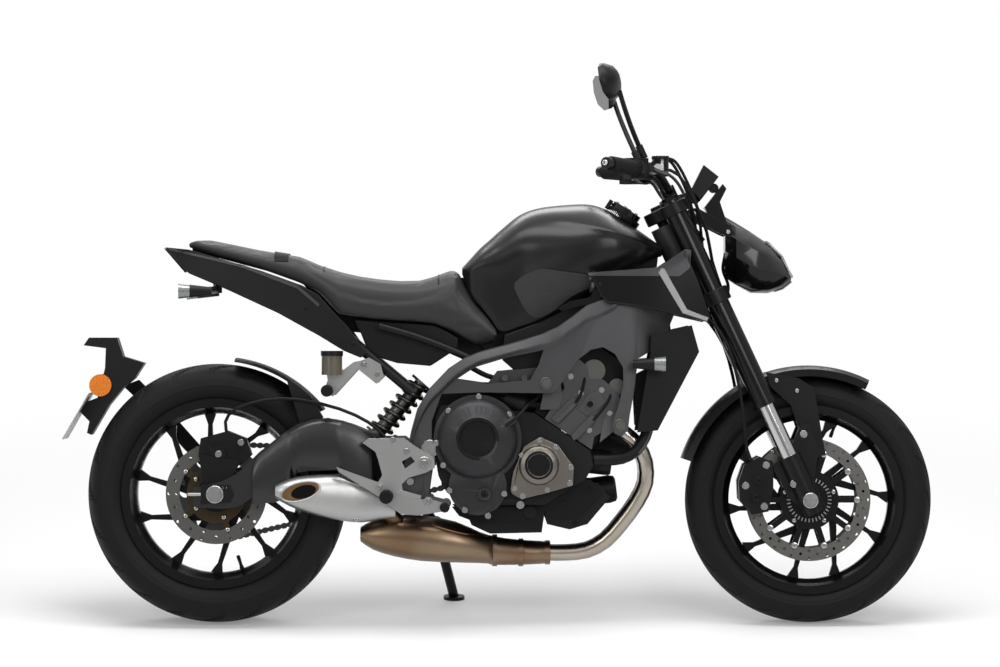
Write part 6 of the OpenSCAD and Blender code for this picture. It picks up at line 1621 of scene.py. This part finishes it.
@dataclass
class Cockpit:
    """Bars, controls, mirrors, meter and headlight."""

    shop: Workshop

    def build(self) -> None:
        """Builds what the rider holds and sees."""
        dress = self.shop.dress
        dress("handlebar", "bars", [SATIN_BLACK], bevel=0.0, sharp=50.0)
        dress("grips", "rubber_grips", [SOFT_RUBBER], bevel=0.002)
        dress("bar_controls", "controls", [MATTE_PLASTIC, SATIN_ALLOY, SATIN_BLACK], self._control_finish,
              bevel=0.0015, sharp=45.0)
        dress("mirrors", "mirror_set", [MATTE_PLASTIC, MIRROR_GLASS], lambda c,
              n: int(n.x < -0.85 and c.z > 1.24), bevel=0.0, sharp=45.0)
        dress("meter", "meter_case", [MATTE_PLASTIC, SCREEN], lambda c, n: int(n.x < -0.5 and n.z > 0.2),
              bevel=0.003)
        dress("headlight", "headlight_shell", [GLOSS_BLACK], bevel=0.003, sharp=38.0)
        self._lens()
        self._grip_ribs()
        self._cables()
        self._switches()

    @staticmethod
    def bar_at(t: float, side: int) -> Vector:
        """Returns a point of the straight bar end, from root 0 to tip 1."""
        root, tip = Vector((1.0625, 0.189, 1.0939)), Vector((0.9404, 0.407, 1.1094))
        p = root + (tip - root) * t
        return Vector((p.x, side * p.y, p.z))

    @staticmethod
    def _control_finish(c: Vector, n: Vector) -> int:
        """Bright master body, black levers and plastic clamps."""
        root = Cockpit.bar_at(PERCH, -1)
        if c.y < 0 and abs(c.x - root.x - 0.03) < 0.0135 and c.z < root.z + 0.018 and c.y > -0.2525:
            return 1
        return 2 if c.x > 1.055 and abs(c.y) > 0.235 else 0

    def _lens(self) -> None:
        """Lays the clear lenses over the headlight's front."""
        shapes = Shapes()
        shop = self.shop
        for low, high, half_low, half_high in ((0.838, 0.926, 0.066, 0.03), (0.806, 0.83, 0.05, 0.062)):

            def cast(u: float, v: float) -> Vector | None:
                """Finds the shell's front at a place of the lens."""
                share = (v + 1) / 2
                half = half_low + (half_high - half_low) * share
                return shop.reach("headlight", (1.7, u * half, low + (high - low) * share), (-1.0, 0.0, 0.0))

            shapes.drape(24, 16, cast, Vector((0.0022, 0.0, 0.001)))
        shapes.stiffen(-0.003)
        shop.emit(shapes.bm, "headlight_lens", [CLEAR_LENS], "steering")

    def _grip_ribs(self) -> None:
        """Adds rib rows to the grips and caps to the bar ends."""
        shapes = Shapes()
        for side in SIDES:
            start, end = self.bar_at(0.47, side), self.bar_at(0.9, side)
            along = (end - start).normalized()
            length = (end - start).length
            profile = [(0.0165, 0.0)]
            count = 26
            for k in range(count):
                h = length * k / count
                profile += [(0.0172, h + 0.0004), (0.0182, h + 0.0011), (0.0182, h + 0.0026),
                            (0.0172, h + 0.0033)]
            profile.append((0.0165, length))
            shapes.spin(profile, start, along, 28, 0)
            shapes.bolt(self.bar_at(1.0, side), along, 0.007, Head.SOCKET, 1)
        self.shop.emit(shapes.bm, "grip_ribs", [SOFT_RUBBER, ZINC], "steering")

    def _cables(self) -> None:
        """Routes the throttle, clutch and switch cables."""
        shapes = Shapes()
        for off in (0.0, 0.011):
            shapes.tube([(1.03 + off, -0.246, 1.092), (1.066 + off, -0.226, 1.12), (1.1 + off, -0.19, 1.118),
                         (1.135 + off, -0.14, 1.06),
                         (1.158 + off, -0.1, 0.99 + off), (1.172 + off, -0.055, 0.9)], 0.0038, 10, 0)
        shapes.tube([(1.075, 0.24, 1.095), (1.1, 0.21, 1.1), (1.13, 0.15, 1.07), (1.158, 0.1, 1.0),
                     (1.172, 0.055, 0.9)], 0.004, 10, 0)
        for side in SIDES:
            low, high = self.bar_at(0.3, side), self.bar_at(0.02, side)
            drop = Vector((0.006, 0.0, -0.02))
            shapes.tube([low + drop, (low + high) / 2 + drop, high + drop, Vector((1.09, side * 0.11, 1.035)),
                         Vector((1.125, side * 0.06, 1.01)),
                         Vector((1.185, side * 0.045, 0.93))], 0.0042, 10, 0)
        shapes.tube([(1.24, -0.012, 0.78), (1.245, -0.02, 0.82), (1.232, -0.03, 0.86), (1.238, -0.03, 0.9)],
                    0.004, 10, 0)
        self.shop.emit(shapes.bm, "cockpit_cables", [SOFT_RUBBER], "steering")

    def _switches(self) -> None:
        """Adds the switch boxes with their buttons, the reservoir cap and the meter's buttons."""
        shapes = Shapes()
        for side in SIDES:
            at = self.bar_at(0.355, side)
            yaw = math.degrees(math.atan2(-0.1221, 0.218)) * -side
            shapes.block(at + Vector((-0.004, 0.0, 0.0)), (0.05, 0.034, 0.05), 0.0, -yaw, 0)
            shapes.block(at + Vector((-0.03, side * 0.002, 0.008)), (0.008, 0.014, 0.008), 0.0, -yaw, 1)
            shapes.block(at + Vector((-0.03, 0.0, -0.008)), (0.006, 0.018, 0.007), 0.0, -yaw, 2)
            perch = self.bar_at(PERCH, side)
            for dz in (-0.015, 0.015):
                shapes.bolt(perch + Vector((-0.0195, 0.0, dz * 0.6)), (-1.0, 0.0, 0.0), 0.0045, Head.SOCKET,
                            3)
        jar = self.bar_at(PERCH, -1) + Vector((0.036, 0.012, -0.004 + 0.034))
        shapes.spin([(0.0, 0.004), (0.0195, 0.004), (0.0215, 0.002), (0.0215, -0.004)], jar, (0.0, 0.0, 1.0),
                    28, 0)
        for dx in (-0.012, 0.012):
            shapes.bolt(jar + Vector((dx, 0.0, 0.004)), (0.0, 0.0, 1.0), 0.003, Head.BUTTON, 3)
        for x, z, radius in ((1.2, 1.083, 0.0095), (1.21, 1.058, 0.011)):
            for side in SIDES:
                shapes.spin([(0.0, 0.0), (radius, 0.0), (radius, 0.028), (radius * 0.9, 0.031),
                             (radius * 0.6, 0.031), (radius * 0.55, 0.029), (0.0, 0.029)],
                            (x, side * 0.012, z), (0.0, side, 0.0), 24, 0)
        self.shop.emit(shapes.bm, "switch_boxes", [MATTE_PLASTIC, RED_LENS, SOFT_RUBBER, ZINC], "steering",
                       bevel=0.0015)


@dataclass
class Studio:
    """Floor, light and camera."""

    stance: Stance
    photo_width: float = 2.44
    photo_pixels: tuple[int, int] = (1000, 667)
    axle_pixel: float = 217.6
    ground_pixel: float = 622.0
    distance: float = 15.0
    floor_size: float = 60.0
    floor_colour: Colour = (0.78, 0.78, 0.79)
    floor_glow: float = 0.22
    fade: tuple[float, float] = (1.0, 3.0)
    horizon: float = 0.3
    zenith: float = 0.7
    ambient: float = 0.28

    def build(self) -> None:
        """Builds the whole studio."""
        self._camera()
        self._floor()
        self._world()
        self._lamps()
        bpy.context.scene.view_settings.view_transform = "Standard"

    def _camera(self) -> None:
        """Sets a long lens square to the leaned bike, as the photograph does."""
        scale = self.photo_width / self.photo_pixels[0]
        middle_x = (self.photo_pixels[0] / 2 - self.axle_pixel) * scale
        middle_z = (self.ground_pixel - self.photo_pixels[1] / 2) * scale
        data = bpy.data.cameras.new("photo_camera")
        data.sensor_width = 36.0
        data.lens = data.sensor_width * self.distance / self.photo_width
        data.clip_end = 200.0
        camera = bpy.data.objects.new("photo_camera", data)
        bpy.context.scene.collection.objects.link(camera)
        turn = Matrix.Rotation(math.pi / 2, 4, "X")
        camera.matrix_world = self.stance.matrix @ Matrix.Translation((middle_x, -self.distance,
                middle_z)) @ turn
        bpy.context.scene.camera = camera

    def _floor(self) -> None:
        """Lays a plain pale floor that keeps the shadow."""
        bm = bmesh.new()
        bmesh.ops.create_grid(bm, x_segments=1, y_segments=1, size=self.floor_size / 2)
        mesh = bpy.data.meshes.new("studio_floor")
        bm.to_mesh(mesh)
        bm.free()
        floor = bpy.data.objects.new("studio_floor", mesh)
        bpy.context.scene.collection.objects.link(floor)
        material = bpy.data.materials.new("pale_floor")
        material.use_nodes = True
        tree = material.node_tree
        tree.nodes.remove(tree.nodes["Principled BSDF"])
        seen = self._seen(tree)
        diffuse = add_node(tree, "BsdfDiffuse", {"Color": (*self.floor_colour, 1.0)})
        glow = add_node(tree, "Emission", {"Strength": maths(tree, "MULTIPLY", seen, self.floor_glow)})
        both = add_node(tree, "AddShader", {0: diffuse.outputs[0], 1: glow.outputs[0]})
        where = add_node(tree, "TexCoord").outputs["Object"]
        away = add_node(tree, "VectorMath", {0: where}, operation="LENGTH").outputs["Value"]
        fade = add_node(tree, "MapRange", {"From Min": self.fade[0], "From Max": self.fade[1], "Value": away},
                        interpolation_type="SMOOTHSTEP")
        share = maths(tree, "MULTIPLY", fade.outputs["Result"], seen)
        white = add_node(tree, "Emission")
        blend = add_node(tree, "MixShader", {"Fac": share, 1: both.outputs[0], 2: white.outputs[0]})
        fill(tree, tree.nodes["Material Output"], {"Surface": blend.outputs[0]})
        mesh.materials.append(material)

    @staticmethod
    def _seen(tree: bpy.types.NodeTree) -> bpy.types.NodeSocket:
        """Adds a mask of camera, mirror and glass rays.

        Args:
            tree: The tree that gets the nodes.

        Returns:
            The mask socket.
        """
        path = add_node(tree, "LightPath").outputs
        nearest = maths(tree, "MAXIMUM", path["Is Camera Ray"], path["Is Glossy Ray"])
        return maths(tree, "MAXIMUM", nearest, path["Is Transmission Ray"])

    def _world(self) -> None:
        """Surrounds the bike with a white backdrop and a dim soft light."""
        world = bpy.data.worlds.new("studio_world")
        bpy.context.scene.world = world
        world.use_nodes = True
        tree = world.node_tree
        path = add_node(tree, "LightPath").outputs
        where = add_node(tree, "TexCoord").outputs["Generated"]
        height = add_node(tree, "SeparateXYZ", {0: where}).outputs["Z"]
        sky = add_node(tree, "MapRange", {"From Max": self.zenith, "To Min": self.horizon, "Value": height},
                       interpolation_type="SMOOTHSTEP")
        mirrored = add_node(tree, "Mix", {
            "Factor": path["Is Glossy Ray"], "A": self.ambient, "B": sky.outputs["Result"]})
        clear = maths(tree, "MAXIMUM", path["Is Camera Ray"], path["Is Transmission Ray"])
        level = maths(tree, "MAXIMUM", clear, mirrored.outputs["Result"])
        fill(tree, tree.nodes["Background"], {"Strength": level, "Color": (1.0, 1.0, 1.0, 1.0)})

    def _lamps(self) -> None:
        """Hangs the soft boxes."""
        self._box("top_box", (0.0, -0.5, 3.2), (0.0, 0.0, 0.5), (3.2, 1.4), 80.0)
        self._box("front_box", (1.6, -3.2, 2.2), (0.1, 0.0, 0.6), (1.4, 1.2), 32.0)
        self._box("rear_box", (-2.2, -2.6, 1.8), (-0.2, 0.0, 0.5), (1.0, 1.4), 18.0)
        self._box("rim_box", (0.0, 3.0, 2.6), (0.0, 0.0, 0.6), (3.0, 1.0), 45.0)

    @staticmethod
    def _box(name: str, at: Sequence[float], aim: Sequence[float], size: tuple[float, float],
             power: float) -> None:
        """Hangs one soft box.

        Args:
            name: The lamp's name.
            at: Its place in the row frame.
            aim: The point that it faces.
            size: Its width and height.
            power: Its power in watts.
        """
        data = bpy.data.lights.new(name, "AREA")
        data.shape = "RECTANGLE"
        data.size, data.size_y = size
        data.energy = power
        lamp = bpy.data.objects.new(name, data)
        bpy.context.scene.collection.objects.link(lamp)
        lamp.location = at
        lamp.rotation_mode = "QUATERNION"
        lamp.rotation_quaternion = (Vector(aim) - Vector(at)).to_track_quat("-Z", "Y")


def main() -> None:
    """Builds the bike and its studio."""
    logging.basicConfig(level=logging.INFO, format="%(name)s %(message)s")
    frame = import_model()
    stance = Stance.from_joints(frame["joints"])
    Studio(stance).build()
    shop = Workshop(frame, stance)
    for part in (Wheels, Chassis, Bodywork, Fork, Cockpit):
        part(shop).build()


if __name__ == "__main__":
    main()
